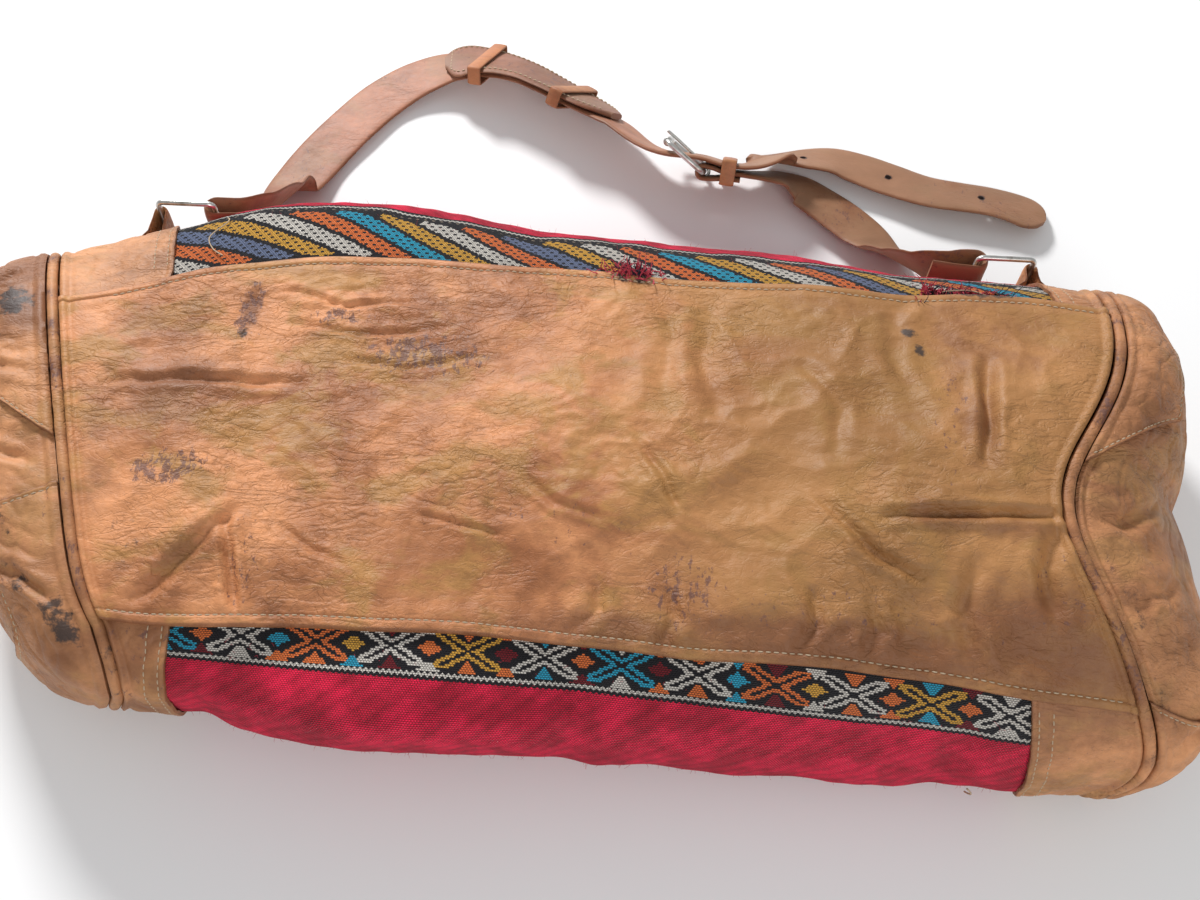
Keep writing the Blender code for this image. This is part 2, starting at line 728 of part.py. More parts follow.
def ribbon(name, centres, across, width, thick, finish_material, ends=None, lift=0.0):
    """A strap through these centres. ends(distance, length) gives its share of full width."""
    across, normal = ribbon_frames(centres, across)
    distance = np.concatenate([[0], np.cumsum(np.linalg.norm(np.diff(centres, axis=0), axis=1))])
    loops = []
    for i, centre in enumerate(centres):
        share = ends(distance[i], distance[-1]) if ends else 1.0
        half = across[i] * width / 2 * share
        middle = centre + normal[i] * lift
        up = normal[i] * thick / 2
        loops.append([middle + half + up, middle - half + up, middle - half - up, middle + half - up])
    return rod(name, loops, finish_material)


def rounded(length_start, length_end, least=0.12):
    """Width share of a ribbon whose ends are rounded over these lengths."""

    def share(distance, total):
        factor = 1.0
        for gone, length in ((distance, length_start), (total - distance, length_end)):
            if length and gone < length:
                factor = min(factor, max(least, math.sqrt(1 - (1 - gone / length) ** 2)))
        return factor

    return share


def back_wall_y(x):
    """The bag's furthest skin at this x, where a tab is sewn."""
    u = float(u_at_x(x, -HEM - KILIM_DEPTH / 2))
    return along(MIDDLE, u) + along(WIDTH, u) / 2


def ring_bars(side):
    """The middles of a ring's two upright bars: the one in its tab and the one in the strap."""
    tab_x = LEFT_RING_X if side < 0 else RIGHT_RING_X
    y = back_wall_y(tab_x) + (LEFT_RING_STANDOFF if side < 0 else RIGHT_RING_STANDOFF)
    tab = np.array((tab_x, y, RING_HEIGHT))
    return tab, tab + np.array((-side * RING_LENGTH, 0, 0))


def strap_loop_middle(side):
    """The middle of the strap's loop round the ring's bar; the bar lies against its bag side."""
    return ring_bars(side)[1] + np.array((0, STRAP_LOOP - RING_WIRE - 2 * GAP - STRAP_THICK / 2, 0))


def strap_fold_round_ring(side):
    """Centres of the strap's sewn-back end, from its flap round the ring's bar."""
    bar = strap_loop_middle(side)
    arc = []
    for degrees in range(-90, 91, 20):
        angle = math.radians(degrees)
        offset = np.array((side * math.cos(angle), math.sin(angle), 0)) * STRAP_LOOP
        arc.append(bar + offset)
    flap_end = bar + np.array((-side * STRAP_FLAP, -STRAP_LOOP + 0.003, 0))
    half_way = bar + np.array((-side * STRAP_FLAP / 2, -STRAP_LOOP + 0.001, 0))
    return np.array([flap_end, half_way] + arc)


def at_heel(along_strap, outward, across=0.0):
    """A point near the buckle, from the heel bar's middle."""
    return HEEL + along_strap * HEEL_ALONG + outward * HEEL_OUT + across * HEEL_AXIS


def heel_station(along_strap, outward, lean=45.0):
    """The strap's lower edge at a place near the buckle, as a route station."""
    return (*at_heel(along_strap, outward, -STRAP_WIDTH / 2), lean)


def heel_fold_radius():
    return FRAME_WIRE + 2 * GAP + STRAP_THICK / 2


def over_heel():
    """How far out the long strap passes over the heel bar and the fold round it."""
    return heel_fold_radius() + STRAP_THICK + STRAP_EASE


def near_ring(side, stations):
    """Route stations near a ring: x and y from its strap bar, share of the drop to the surface, lean."""
    bar = strap_loop_middle(side) - UP * STRAP_WIDTH / 2
    drop = bar[2] - STRAP_FLOOR
    return [(bar[0] + x, bar[1] + y, bar[2] - drop * share, lean) for x, y, share, lean in stations]


def long_route():
    """Stations of the long strap, from the left ring over the pad and buckle to its tip."""
    start = near_ring(
        -1,
        [
            (0.0060, STRAP_LOOP, 0.0, 90),
            (0.0110, 0.0090, 0.03, 86),
            (0.0160, 0.0200, 0.24, 70),
            (0.0140, 0.0400, 0.64, 42),
            (0.0080, 0.0660, 0.95, 17),
        ],
    )
    middle = [
        (-0.2345, 0.283, STRAP_FLOOR, 7),
        (-0.207, 0.334, STRAP_FLOOR, 5),
        (-0.182, 0.368, STRAP_FLOOR, 5),
        (-0.156, 0.388, 0.0040, 8),
        (-0.129, 0.398, 0.0060, 12),
        (-0.104, 0.398, 0.0070, 18),
        (-0.082, 0.392, 0.0075, 25),
        (-0.059, 0.381, 0.0080, 31),
        (-0.038, 0.367, 0.0080, 35),
        (-0.014, 0.350, 0.0080, 38),
        (0.011, 0.331, 0.0100, 41),
    ]
    over_layers = STRAP_THICK * 1.5 + STRAP_EASE
    buckle = [
        heel_station(-0.028, over_heel() - 0.0005),
        heel_station(-0.014, over_heel()),
        heel_station(0.000, over_heel()),
        heel_station(0.009, (over_heel() + over_layers) / 2),
        heel_station(0.018, over_layers),
        heel_station(0.025, over_layers + 0.0006),
    ]
    tail = [
        (0.1045, 0.306, 0.0075, 39),
        (0.119, 0.3145, 0.0030, 34),
        (0.140, 0.3215, STRAP_FLOOR, 27),
        (0.163, 0.324, STRAP_FLOOR, 20),
        (0.186, 0.319, STRAP_FLOOR, 15),
        (0.209, 0.310, STRAP_FLOOR, 14),
        (0.232, 0.3005, STRAP_FLOOR, 17),
        (0.254, 0.2965, STRAP_FLOOR, 19),
        (0.276, 0.293, STRAP_FLOOR, 19),
        (0.299, 0.286, STRAP_FLOOR, 17),
        (0.317, 0.276, STRAP_FLOOR, 15),
    ]
    return start, middle + buckle + tail


def short_route():
    """Stations of the short strap, from the buckle to the right ring."""
    stations = [
        (0.1045, 0.2945, 0.0058, 40),
        (0.123, 0.2975, 0.0032, 32),
        (0.141, 0.2950, STRAP_FLOOR, 22),
        (0.161, 0.2825, STRAP_FLOOR, 17),
        (0.181, 0.2660, STRAP_FLOOR, 15),
        (0.197, 0.2470, STRAP_FLOOR, 19),
    ]
    ring = near_ring(
        1,
        [
            (-0.0300, 0.0540, 0.99, 28),
            (-0.0240, 0.0340, 0.73, 46),
            (-0.0185, 0.0185, 0.37, 66),
            (-0.0115, 0.0092, 0.09, 84),
            (-0.0050, STRAP_LOOP, 0.0, 90),
        ],
    )
    return stations + ring


def straps():
    """Both parts of the shoulder strap, with the holes for the tongue."""
    start, rest = long_route()
    centres, across = lean_route(start + rest)
    fold = strap_fold_round_ring(-1)
    centres = np.concatenate([fold, centres])
    across = np.concatenate([np.tile(UP, (len(fold), 1)), across])
    tip = rounded(0, STRAP_TIP)
    strap_long = ribbon("strap_long", centres, across, STRAP_WIDTH, STRAP_THICK, strap_leather(), tip)
    heel_hole = at_heel(-0.0060, over_heel())
    cut(strap_long, strap_hole("tongue_slot", heel_hole, HEEL_ALONG, 0.0062))
    route_centres, route_across = lean_route(rest)
    tail_start = ROUTE_STEPS * (len(rest) - 12)
    tail = route_centres[tail_start:]
    tail_across = ribbon_frames(tail, route_across[tail_start:])[0]
    distance = np.concatenate([[0], np.cumsum(np.linalg.norm(np.diff(tail, axis=0), axis=1))])
    for number, place in enumerate(HOLE_PLACES):
        i = int(np.argmin(np.abs(distance - place)))
        run = unit(tail[i + 1] - tail[i - 1])
        normal = np.cross(tail_across[i], run)
        loops = [circle(tail[i] + normal * h, run, tail_across[i], HOLE_RADIUS, 10) for h in (-0.004, 0.004)]
        cut(strap_long, rod(f"strap_hole_{number + 1}", loops, strap_leather()))
    short_strap()


def strap_hole(name, centre, run, half_length):
    """A slot cutter through a strap near the buckle."""
    outline = round_rectangle(centre, run, HEEL_AXIS, half_length, HOLE_RADIUS, HOLE_RADIUS * 0.9, 3)
    depth = STRAP_THICK * 0.75
    return rod(name, [[p + HEEL_OUT * h for p in outline] for h in (-depth, depth)], strap_leather())


def short_strap():
    """The short strap: its end is folded round the heel bar, with a slot for the tongue."""
    radius = heel_fold_radius()
    near = STRAP_THICK / 2 + GAP / 2
    fold = [at_heel(FOLD_FLAP, -near), at_heel(FOLD_FLAP * 0.6, -near), at_heel(0.007, -radius * 0.85)]
    for degrees in range(-90, 91, 20):
        angle = math.radians(degrees)
        fold.append(at_heel(-radius * math.cos(angle), radius * math.sin(angle)))
    fold.append(at_heel(0.007, radius * 0.85))
    fold.append(at_heel(FOLD_FLAP * 0.55, near))
    fold.append(at_heel(FOLD_FLAP * 0.85, near))
    centres, across = lean_route(short_route())
    ring_fold = strap_fold_round_ring(1)[::-1]
    all_centres = np.concatenate([fold, centres, ring_fold])
    heel_across = np.tile(HEEL_AXIS, (len(fold), 1))
    ring_across = np.tile(UP, (len(ring_fold), 1))
    all_across = np.concatenate([heel_across, across, ring_across])
    strap = ribbon("strap_short", all_centres, all_across, STRAP_WIDTH, STRAP_THICK, strap_leather())
    slot = 2 * TONGUE_WIRE + 0.0016
    outline = [
        at_heel(a, b, -slot / 2)
        for a, b in ((-0.012, -0.012), (0.0075, -0.012), (0.0075, 0.012), (-0.012, 0.012))
    ]
    other = [p + HEEL_AXIS * slot for p in outline]
    cut(strap, rod("fold_slot", [outline, other], strap_leather()))


def pad():
    """The padded leather on the strap's outer face, rounded at the left and pointed at the right."""
    start, rest = long_route()
    centres, across = lean_route(start + rest)
    first = (len(start) + 4) * ROUTE_STEPS
    pad_range = slice(first, first + 6 * ROUTE_STEPS + 1)
    centres, across = centres[pad_range], across[pad_range]
    lift = STRAP_THICK / 2 + GAP + PAD_THICK / 2
    ends = rounded(PAD_ROUND_END, PAD_NARROW_END, PAD_NARROW_SHARE)
    ribbon("shoulder_pad", centres, across, PAD_WIDTH, PAD_THICK, strap_leather(), ends, lift)
    low = -STRAP_THICK / 2
    high = STRAP_THICK / 2 + GAP + PAD_THICK
    for name, station in (("left_pad_keeper", 5), ("right_pad_keeper", 14)):
        keeper(name, centres, across, station, low, high, PAD_WIDTH)


def keeper(name, centres, across, station, low, high, width):
    """A leather loop round a strap; low and high are the stack's faces from the strap's middle."""
    across, normal = ribbon_frames(centres, across)
    run = unit(centres[station + 1] - centres[station - 1])
    centre = centres[station] + normal[station] * (low + high) / 2
    ease = KEEPER_EASE
    loops = []
    for place, wall in ((-1, KEEPER_THICK), (1, KEEPER_THICK), (1, 0), (-1, 0)):
        half_across = width / 2 + ease + wall
        half_through = (high - low) / 2 + ease + wall
        at = centre + run * place * KEEPER_WIDTH / 2
        loops.append(
            round_rectangle(at, across[station], normal[station], half_across, half_through, 0.0008 + wall, 2)
        )
    band(name, loops, keeper_leather())


# Metal
def rings_and_tabs():
    """The two rectangular rings and the leather tabs that are sewn to the bag's back."""
    half_height = STRAP_WIDTH / 2 + 0.0015 + RING_WIRE
    for name, side in (("left", -1), ("right", 1)):
        tab_bar, strap_bar = ring_bars(side)
        middle = (tab_bar + strap_bar) / 2
        path = round_rectangle(middle, np.array((1.0, 0, 0)), UP, RING_LENGTH / 2, half_height, RING_CORNER)
        ring = wire_loop(name + "_ring", path, np.array((0, 1.0, 0)), RING_WIRE, nickel())
        set_origin(ring, tab_bar)
        ring_tab(name, tab_bar)


def ring_tab(name, bar):
    """One strip of leather: both feet lie on the bag, and it loops round the ring's bar."""
    loop = RING_WIRE + 2 * GAP + TAB_THICK / 2
    seat = TAB_THICK / 2 + GAP + STRIP_LEATHER + GAP
    points = []
    for end in (-1, 1):
        foot = []
        for reach, out in ((TAB_FOOT, 0.0), (0.012, 0.0005)):
            x = bar[0] + end * reach
            foot.append(np.array((x, back_wall_y(x) + seat + out, 0)))
        x = bar[0] + end * (loop + 0.001)
        foot.append(np.array((x, back_wall_y(bar[0]) + seat + 0.008, 0)))
        foot.append(np.array((bar[0] + end * (loop + 0.0002), bar[1] - 0.006, 0)))
        points.append(foot)
    arc = []
    for degrees in range(180, -1, -30):
        angle = math.radians(degrees)
        arc.append(np.array((bar[0], bar[1], 0)) + loop * np.array((math.cos(angle), math.sin(angle), 0)))
    route = points[0] + arc + points[1][::-1]
    centres = np.array(route) + UP * bar[2]
    upright = np.tile(UP, (len(centres), 1))
    ribbon(name + "_ring_tab", centres, upright, TAB_WIDTH, TAB_THICK, end_leather())


def buckle():
    """Frame with its heel bar in the short strap's fold, a roller on its front bar, and the tongue."""
    reach = -HEEL_ALONG * math.cos(FRAME_LIFT) + HEEL_OUT * math.sin(FRAME_LIFT)
    half_width = STRAP_WIDTH / 2 + FRAME_SIDE_ROOM + FRAME_WIRE
    middle = HEEL + reach * FRAME_LENGTH / 2
    path = round_rectangle(middle, reach, HEEL_AXIS, FRAME_LENGTH / 2, half_width, FRAME_CORNER)
    frame = wire_loop("buckle_frame", path, np.cross(reach, HEEL_AXIS), FRAME_WIRE, nickel())
    set_origin(frame, HEEL)
    front = HEEL + reach * FRAME_LENGTH
    side = np.cross(reach, HEEL_AXIS)
    roller_half = half_width - FRAME_CORNER - 0.0015
    inner = FRAME_WIRE + GAP
    loops = []
    for place, radius in ((-1, inner + ROLLER_WALL), (1, inner + ROLLER_WALL), (1, inner), (-1, inner)):
        loops.append(circle(front + HEEL_AXIS * place * roller_half, reach, side, radius, 14))
    roller = band("buckle_roller", loops, nickel())
    set_origin(roller, front)
    tongue(front, reach)


def tongue(front, reach):
    """Wire bent round the heel bar, through the long strap and onto the roller."""
    eye = FRAME_WIRE + 2 * GAP + TONGUE_WIRE
    rest_height = FRAME_WIRE + GAP + ROLLER_WALL + GAP + TONGUE_WIRE
    rise = np.cross(HEEL_AXIS, -reach)
    rise = rise if rise @ HEEL_OUT > 0 else -rise
    tip = front + rise * rest_height + reach * (FRAME_WIRE + ROLLER_WALL + TONGUE_OVERHANG)
    path = []
    for degrees in range(-150, 91, 20):
        angle = math.radians(degrees)
        path.append(HEEL + eye * (math.sin(angle) * rise - math.cos(angle) * reach))
    path.append(HEEL + rise * (eye + 0.0004) + reach * 0.008)
    path.append(front + rise * rest_height - reach * 0.004)
    path.append(tip - reach * 0.002)
    path.append(tip)
    loops = []
    points = np.array(path)
    run = np.gradient(points, axis=0)
    for i, point in enumerate(points):
        side = unit(np.cross(run[i], HEEL_AXIS))
        loops.append(circle(point, HEEL_AXIS, side, TONGUE_WIRE * (0.8 if i == len(points) - 1 else 1), 8))
    set_origin(rod("buckle_tongue", loops, nickel()), HEEL)


def strap_keeper():
    """The keeper beside the buckle, round both straps."""
    centres = np.array([at_heel(a, 0.0) for a in (0.012, 0.017, 0.022)])
    across = np.tile(HEEL_AXIS, (3, 1))
    low = -STRAP_THICK - GAP
    high = STRAP_THICK * 2 + STRAP_EASE + 0.0006
    keeper("strap_keeper", centres, across, 1, low, high, STRAP_WIDTH + 0.0016)


for old in list(bpy.data.objects):
    bpy.data.objects.remove(old)
base_panel()
kilims()
corner_strips()
top_strips()
ends()
piping()
zip_parts()
straps()
pad()
rings_and_tabs()
buckle()
strap_keeper()
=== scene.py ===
# %% [markdown]
# # An empty kilim duffle bag that has slumped
#
# The bag lies on its zip side with its leather base panel up. Its CAD part fixes every place
# and size. This script gives the part the look of the photograph: creased and stained leather,
# woven bands, stitches, frayed yarn and worn metal.

import math

import bmesh
import bpy
import numpy as np
from mathutils import Matrix, Vector, noise


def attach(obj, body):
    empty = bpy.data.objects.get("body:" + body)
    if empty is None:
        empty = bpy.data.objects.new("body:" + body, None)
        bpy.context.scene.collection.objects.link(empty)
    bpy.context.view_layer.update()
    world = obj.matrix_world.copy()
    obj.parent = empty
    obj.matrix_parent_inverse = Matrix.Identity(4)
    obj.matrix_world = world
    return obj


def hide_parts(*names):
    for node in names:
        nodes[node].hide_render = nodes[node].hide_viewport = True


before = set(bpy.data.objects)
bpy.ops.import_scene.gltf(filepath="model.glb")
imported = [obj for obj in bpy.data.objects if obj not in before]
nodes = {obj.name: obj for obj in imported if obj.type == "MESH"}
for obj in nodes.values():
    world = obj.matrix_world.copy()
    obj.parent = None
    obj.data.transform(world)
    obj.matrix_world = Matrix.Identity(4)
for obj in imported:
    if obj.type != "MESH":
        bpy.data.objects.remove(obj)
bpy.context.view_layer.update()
print("frame:", len(nodes), "nodes")

# %% [markdown]
# ## Camera, light and floor
#
# The photograph looks down at the bag from its front. The camera's height, distance and small
# roll were found by matching the corners of the base panel.

# %% Camera
CAMERA_TARGET = Vector((0.002, 0.017, 0.077))
CAMERA_ELEVATION = math.radians(60)
CAMERA_ROLL = math.radians(2.7)
CAMERA_DISTANCE = 0.735
CAMERA_LENS = 39


def add_camera():
    toward = Vector((0, math.cos(CAMERA_ELEVATION), -math.sin(CAMERA_ELEVATION)))
    level_up = Vector((0, math.sin(CAMERA_ELEVATION), math.cos(CAMERA_ELEVATION)))
    right = Vector((1, 0, 0)) * math.cos(CAMERA_ROLL) + level_up * math.sin(CAMERA_ROLL)
    up = level_up * math.cos(CAMERA_ROLL) - Vector((1, 0, 0)) * math.sin(CAMERA_ROLL)
    data = bpy.data.cameras.new("camera")
    data.lens = CAMERA_LENS
    data.clip_start = 0.01
    camera = bpy.data.objects.new("camera", data)
    bpy.context.scene.collection.objects.link(camera)
    place = CAMERA_TARGET - toward * CAMERA_DISTANCE
    rotation = Matrix((right, up, -toward)).transposed().to_4x4()
    camera.matrix_world = Matrix.Translation(place) @ rotation
    bpy.context.scene.camera = camera


add_camera()


# %% Light and floor
def add_area_light(name, place, size, power):
    data = bpy.data.lights.new(name, "AREA")
    data.shape = "DISK"
    data.size = size
    data.energy = power
    light = bpy.data.objects.new(name, data)
    bpy.context.scene.collection.objects.link(light)
    aim = Vector((0, 0, 0.05)) - Vector(place)
    light.matrix_world = Matrix.Translation(place) @ aim.to_track_quat("-Z", "Y").to_matrix().to_4x4()


def add_floor():
    bpy.ops.mesh.primitive_plane_add(size=8)
    floor = bpy.context.object
    floor.name = "floor"
    paint = bpy.data.materials.new("floor_paint")
    paint.use_nodes = True
    shader = paint.node_tree.nodes["Principled BSDF"]
    shader.inputs["Base Color"].default_value = (0.90, 0.90, 0.90, 1)
    shader.inputs["Roughness"].default_value = 0.9
    floor.data.materials.append(paint)


def set_world():
    world = bpy.data.worlds.new("studio")
    world.use_nodes = True
    background = world.node_tree.nodes["Background"]
    background.inputs["Color"].default_value = (0.96, 0.98, 1.0, 1)
    background.inputs["Strength"].default_value = 0.42
    bpy.context.scene.world = world
    bpy.context.scene.view_settings.view_transform = "Standard"


add_area_light("key", (-0.90, 1.90, 1.30), 0.50, 64)
add_area_light("fill", (0.4, -1.5, 1.3), 1.2, 15)
add_floor()
set_world()
print("camera, two lights and floor")

# %% [markdown]
# ## Shader arithmetic
#
# A Field is a number, colour or vector that varies over a surface. Its arithmetic adds math
# nodes to a shader tree, so that a pattern reads like a formula.


# %% Fields
class Field:
    """A value inside a shader node tree."""

    def __init__(self, tree, socket):
        self.tree = tree
        self.socket = socket

    def math(self, operation, *others):
        node = self.tree.nodes.new("ShaderNodeMath")
        node.operation = operation
        for i, value in enumerate((self, *others)):
            plug(self.tree, value, node.inputs[i])
        return Field(self.tree, node.outputs[0])

    def __add__(self, other):
        return self.math("ADD", other)

    def __sub__(self, other):
        return self.math("SUBTRACT", other)

    def __mul__(self, other):
        return self.math("MULTIPLY", other)

    def __truediv__(self, other):
        return self.math("DIVIDE", other)

    def size(self):
        return self.math("ABSOLUTE")

    def floor(self):
        return self.math("FLOOR")

    def below(self, other):
        """1 where this is less than other, otherwise 0."""
        return self.math("LESS_THAN", other)

    def above(self, other):
        return self.math("GREATER_THAN", other)

    def low(self, other):
        return self.math("MINIMUM", other)

    def high(self, other):
        return self.math("MAXIMUM", other)

    def rise(self, start, end):
        """0 before start, 1 after end, and smooth between."""
        node = self.tree.nodes.new("ShaderNodeMapRange")
        node.interpolation_type = "SMOOTHSTEP"
        plug(self.tree, self, node.inputs["Value"])
        node.inputs["From Min"].default_value = start
        node.inputs["From Max"].default_value = end
        return Field(self.tree, node.outputs["Result"])


def plug(tree, value, socket):
    """Links a field to a socket, or sets the socket to a plain value."""
    if isinstance(value, Field):
        tree.links.new(value.socket, socket)
    elif isinstance(value, tuple) and len(value) == 3 and socket.type == "RGBA":
        socket.default_value = (*value, 1)
    else:
        socket.default_value = value


def mixed(mask, first, second):
    """The first colour where mask is 0, the second where it is 1."""
    tree = mask.tree
    node = tree.nodes.new("ShaderNodeMix")
    node.data_type = "RGBA"
    plug(tree, mask, node.inputs["Factor"])
    plug(tree, first, node.inputs[6])
    plug(tree, second, node.inputs[7])
    return Field(tree, node.outputs[2])


def dimmed(colour, amount):
    """A colour made darker or lighter by a number."""
    tree = colour.tree
    node = tree.nodes.new("ShaderNodeVectorMath")
    node.operation = "SCALE"
    tree.links.new(colour.socket, node.inputs[0])
    plug(tree, amount, node.inputs["Scale"])
    return Field(tree, node.outputs[0])


def stretched(vector, scales):
    tree = vector.tree
    node = tree.nodes.new("ShaderNodeVectorMath")
    node.operation = "MULTIPLY"
    tree.links.new(vector.socket, node.inputs[0])
    node.inputs[1].default_value = scales
    return Field(tree, node.outputs[0])


def cloudy(vector, scale, detail=3.0, roughness=0.5, distortion=0.0):
    """Noise from 0 to 1."""
    tree = vector.tree
    node = tree.nodes.new("ShaderNodeTexNoise")
    tree.links.new(vector.socket, node.inputs["Vector"])
    node.inputs["Scale"].default_value = scale
    node.inputs["Detail"].default_value = detail
    node.inputs["Roughness"].default_value = roughness
    node.inputs["Distortion"].default_value = distortion
    return Field(tree, node.outputs[0])


def pebbled(vector, scale):
    """Distance to the nearest of many scattered points, for the leather's pores."""
    tree = vector.tree
    node = tree.nodes.new("ShaderNodeTexVoronoi")
    tree.links.new(vector.socket, node.inputs["Vector"])
    node.inputs["Scale"].default_value = scale
    return Field(tree, node.outputs["Distance"])


def axes(vector):
    """A vector's three numbers."""
    tree = vector.tree
    node = tree.nodes.new("ShaderNodeSeparateXYZ")
    tree.links.new(vector.socket, node.inputs[0])
    return [Field(tree, socket) for socket in node.outputs]


def chosen(place, colours):
    """One of a short list of colours; place counts them from 0 and starts again after the last."""
    tree = place.tree
    share = (place + 0.5) / len(colours)
    share = share - share.floor()
    node = tree.nodes.new("ShaderNodeValToRGB")
    node.color_ramp.interpolation = "CONSTANT"
    stops = node.color_ramp.elements
    while len(stops) < len(colours):
        stops.new(0.5)
    for i, colour in enumerate(colours):
        stops[i].position = i / len(colours)
    for i, colour in enumerate(colours):
        stops[i].color = (*colour, 1)
    plug(tree, share, node.inputs[0])
    return Field(tree, node.outputs["Color"])


# %% Node groups
SOCKET_KINDS = {"number": "NodeSocketFloat", "vector": "NodeSocketVector", "colour": "NodeSocketColor"}


def begin_group(name, inputs):
    """A new node group, and its inputs as fields."""
    tree = bpy.data.node_groups.new(name, "ShaderNodeTree")
    for label, kind in inputs.items():
        tree.interface.new_socket(label, in_out="INPUT", socket_type=SOCKET_KINDS[kind])
    source = tree.nodes.new("NodeGroupInput")
    return tree, [Field(tree, source.outputs[label]) for label in inputs]


def end_group(tree, outputs):
    """Ends a node group with these outputs: label, kind and field."""
    for label, kind, _ in outputs:
        tree.interface.new_socket(label, in_out="OUTPUT", socket_type=SOCKET_KINDS[kind])
    sink = tree.nodes.new("NodeGroupOutput")
    for label, _, field in outputs:
        tree.links.new(field.socket, sink.inputs[label])
    return tree


def use_group(tree, group, values):
    """A group used in a material; its outputs as fields by their labels."""
    node = tree.nodes.new("ShaderNodeGroup")
    node.node_tree = group
    for label, value in values.items():
        plug(tree, value, node.inputs[label])
    return {socket.name: Field(tree, socket) for socket in node.outputs}


def new_material(name, roughness=0.5, metallic=0.0, specular=0.5):
    """A material with one Principled shader, and its object position as a field."""
    made = bpy.data.materials.new(name)
    made.use_nodes = True
    tree = made.node_tree
    shader = tree.nodes["Principled BSDF"]
    shader.inputs["Roughness"].default_value = roughness
    shader.inputs["Metallic"].default_value = metallic
    shader.inputs["Specular IOR Level"].default_value = specular
    position = Field(tree, tree.nodes.new("ShaderNodeTexCoord").outputs["Object"])
    return made, tree, shader, position


def attribute(tree, name):
    """A value that the mesh carries at each vertex."""
    node = tree.nodes.new("ShaderNodeAttribute")
    node.attribute_name = name
    return node


def add_bump(tree, shader, height, distance, strength=1.0):
    """Small relief: height is a field of about 0 to 1, distance its depth in metres."""
    node = tree.nodes.new("ShaderNodeBump")
    node.inputs["Distance"].default_value = distance
    node.inputs["Strength"].default_value = strength
    plug(tree, height, node.inputs["Height"])
    tree.links.new(node.outputs["Normal"], shader.inputs["Normal"])


print("shader arithmetic ready")

# %% [markdown]
# ## Leather
#
# One node group makes all the leathers: clouds of colour, a net of fine wrinkles and pores.
# The wrinkle lines are also painted a little darker, as painted shade. Each material adds its
# own marks.


# %% Leather group
def wrinkle_lines(position, scale, distortion, width):
    """0 along a net of wrinkles, 1 on the skin between them."""
    return (cloudy(position, scale, 2.5, 0.5, distortion) - 0.5).size().rise(0.0, width)


def leather_group():
    tree, (position, light, dark, ochre) = begin_group(
        "aged_leather", {"Position": "vector", "Light": "colour", "Dark": "colour", "Ochre": "colour"}
    )
    clouds = cloudy(position, 8.5, 5.0, 0.60, 0.5)
    tones = cloudy(stretched(position, (1.0, 1.4, 1.4)), 21, 5.0, 0.60, 0.6)
    blotches = cloudy(stretched(position, (0.7, 1.3, 1.0)), 75, 5.0, 0.65, 0.4)
    speckle = cloudy(position, 300, 4.0, 0.75)
    colour = mixed(clouds.rise(0.36, 0.60), dark, light)
    colour = mixed(tones.rise(0.47, 0.62) * 0.80, colour, ochre)
    long_lines = wrinkle_lines(stretched(position, (0.6, 1.6, 1.2)), 48, 0.7, 0.075)
    short_lines = wrinkle_lines(stretched(position, (0.8, 1.4, 1.2)), 120, 0.9, 0.085)
    fine_lines = wrinkle_lines(stretched(position, (0.8, 1.3, 1.2)), 290, 0.8, 0.10)
    creased = cloudy(position, 13, 3.0, 0.5).rise(0.36, 0.58)
    pores = pebbled(position, 1300)
    relief = (long_lines - 1) * creased * 0.50 + (short_lines - 1) * (creased * 0.7 + 0.3) * 0.34
    relief = relief + (fine_lines - 1) * (creased * 0.6 + 0.4) * 0.14
    height = relief + speckle * 0.12 + pores * 0.06 + 0.9
    # Random tone from blotches and speckle, and painted shade: the colour is darker along the wrinkle lines.
    tone_and_painted_shade = relief * 0.20 + (blotches - 0.5) * 0.85 + (speckle - 0.5) * 0.45 + 1.06
    roughness = clouds * 0.22 + speckle * 0.20 + 0.34
    outputs = [("Color", "colour", dimmed(colour, tone_and_painted_shade)), ("Rough", "number", roughness)]
    outputs += [("Height", "number", height), ("Clouds", "number", clouds)]
    return end_group(tree, outputs)


LEATHER_GROUP = leather_group()


def leather_material(name, light, dark, ochre, relief, mark_colours, warm=None):
    """Leather with marks: the mesh attribute 'marks' holds brown, scuffed and dirty places; brown also carries
    painted shade in creases and stitch grooves.
    """
    made, tree, shader, position = new_material(name, specular=0.32)
    values = {"Position": position, "Light": light, "Dark": dark, "Ochre": ochre}
    parts = use_group(tree, LEATHER_GROUP, values)
    colour = parts["Color"]
    if warm:
        warm_colour, start, end = warm
        x = axes(position)[0]
        reach = (x + (parts["Clouds"] - 0.5) * 0.35).rise(start, end)
        warm_field = dimmed(paint_field(tree, warm_colour), parts["Clouds"] * 0.8 + 0.6)
        colour = mixed(reach * 0.75, colour, warm_field)
    marks = Field(tree, attribute(tree, "marks").outputs["Color"])
    brown, scuffed, dirty = axes(marks)
    speckle = cloudy(stretched(position, (1.0, 0.5, 1.0)), 260, 4.0, 0.75)
    patches = cloudy(position, 46, 5.0, 0.65)
    brown = (brown * 1.25 + (patches - 0.5) * 1.6 - 0.20).rise(0.0, 1.0)
    # Brown places, and painted shade in creases and stitch grooves.
    colour = mixed(brown * 0.85, colour, mark_colours[0])
    scuffed = (scuffed + (speckle - 0.5) * 3.2 - 0.70).rise(0.0, 0.30)
    colour = mixed(scuffed * 0.80, colour, mark_colours[1])
    smudges = cloudy(position, 130, 5.0, 0.7)
    dirty = (dirty + (smudges - 0.5) * 2.6 - 0.42).rise(0.0, 0.5)
    colour = mixed(dirty * 0.9, colour, mark_colours[2])
    plug(tree, colour, shader.inputs["Base Color"])
    plug(tree, parts["Rough"], shader.inputs["Roughness"])
    add_bump(tree, shader, parts["Height"], relief)
    return made


def paint_field(tree, colour):
    """A plain colour as a field, so that it can be made lighter and darker."""
    node = tree.nodes.new("ShaderNodeRGB")
    node.outputs[0].default_value = (*colour, 1)
    return Field(tree, node.outputs[0])
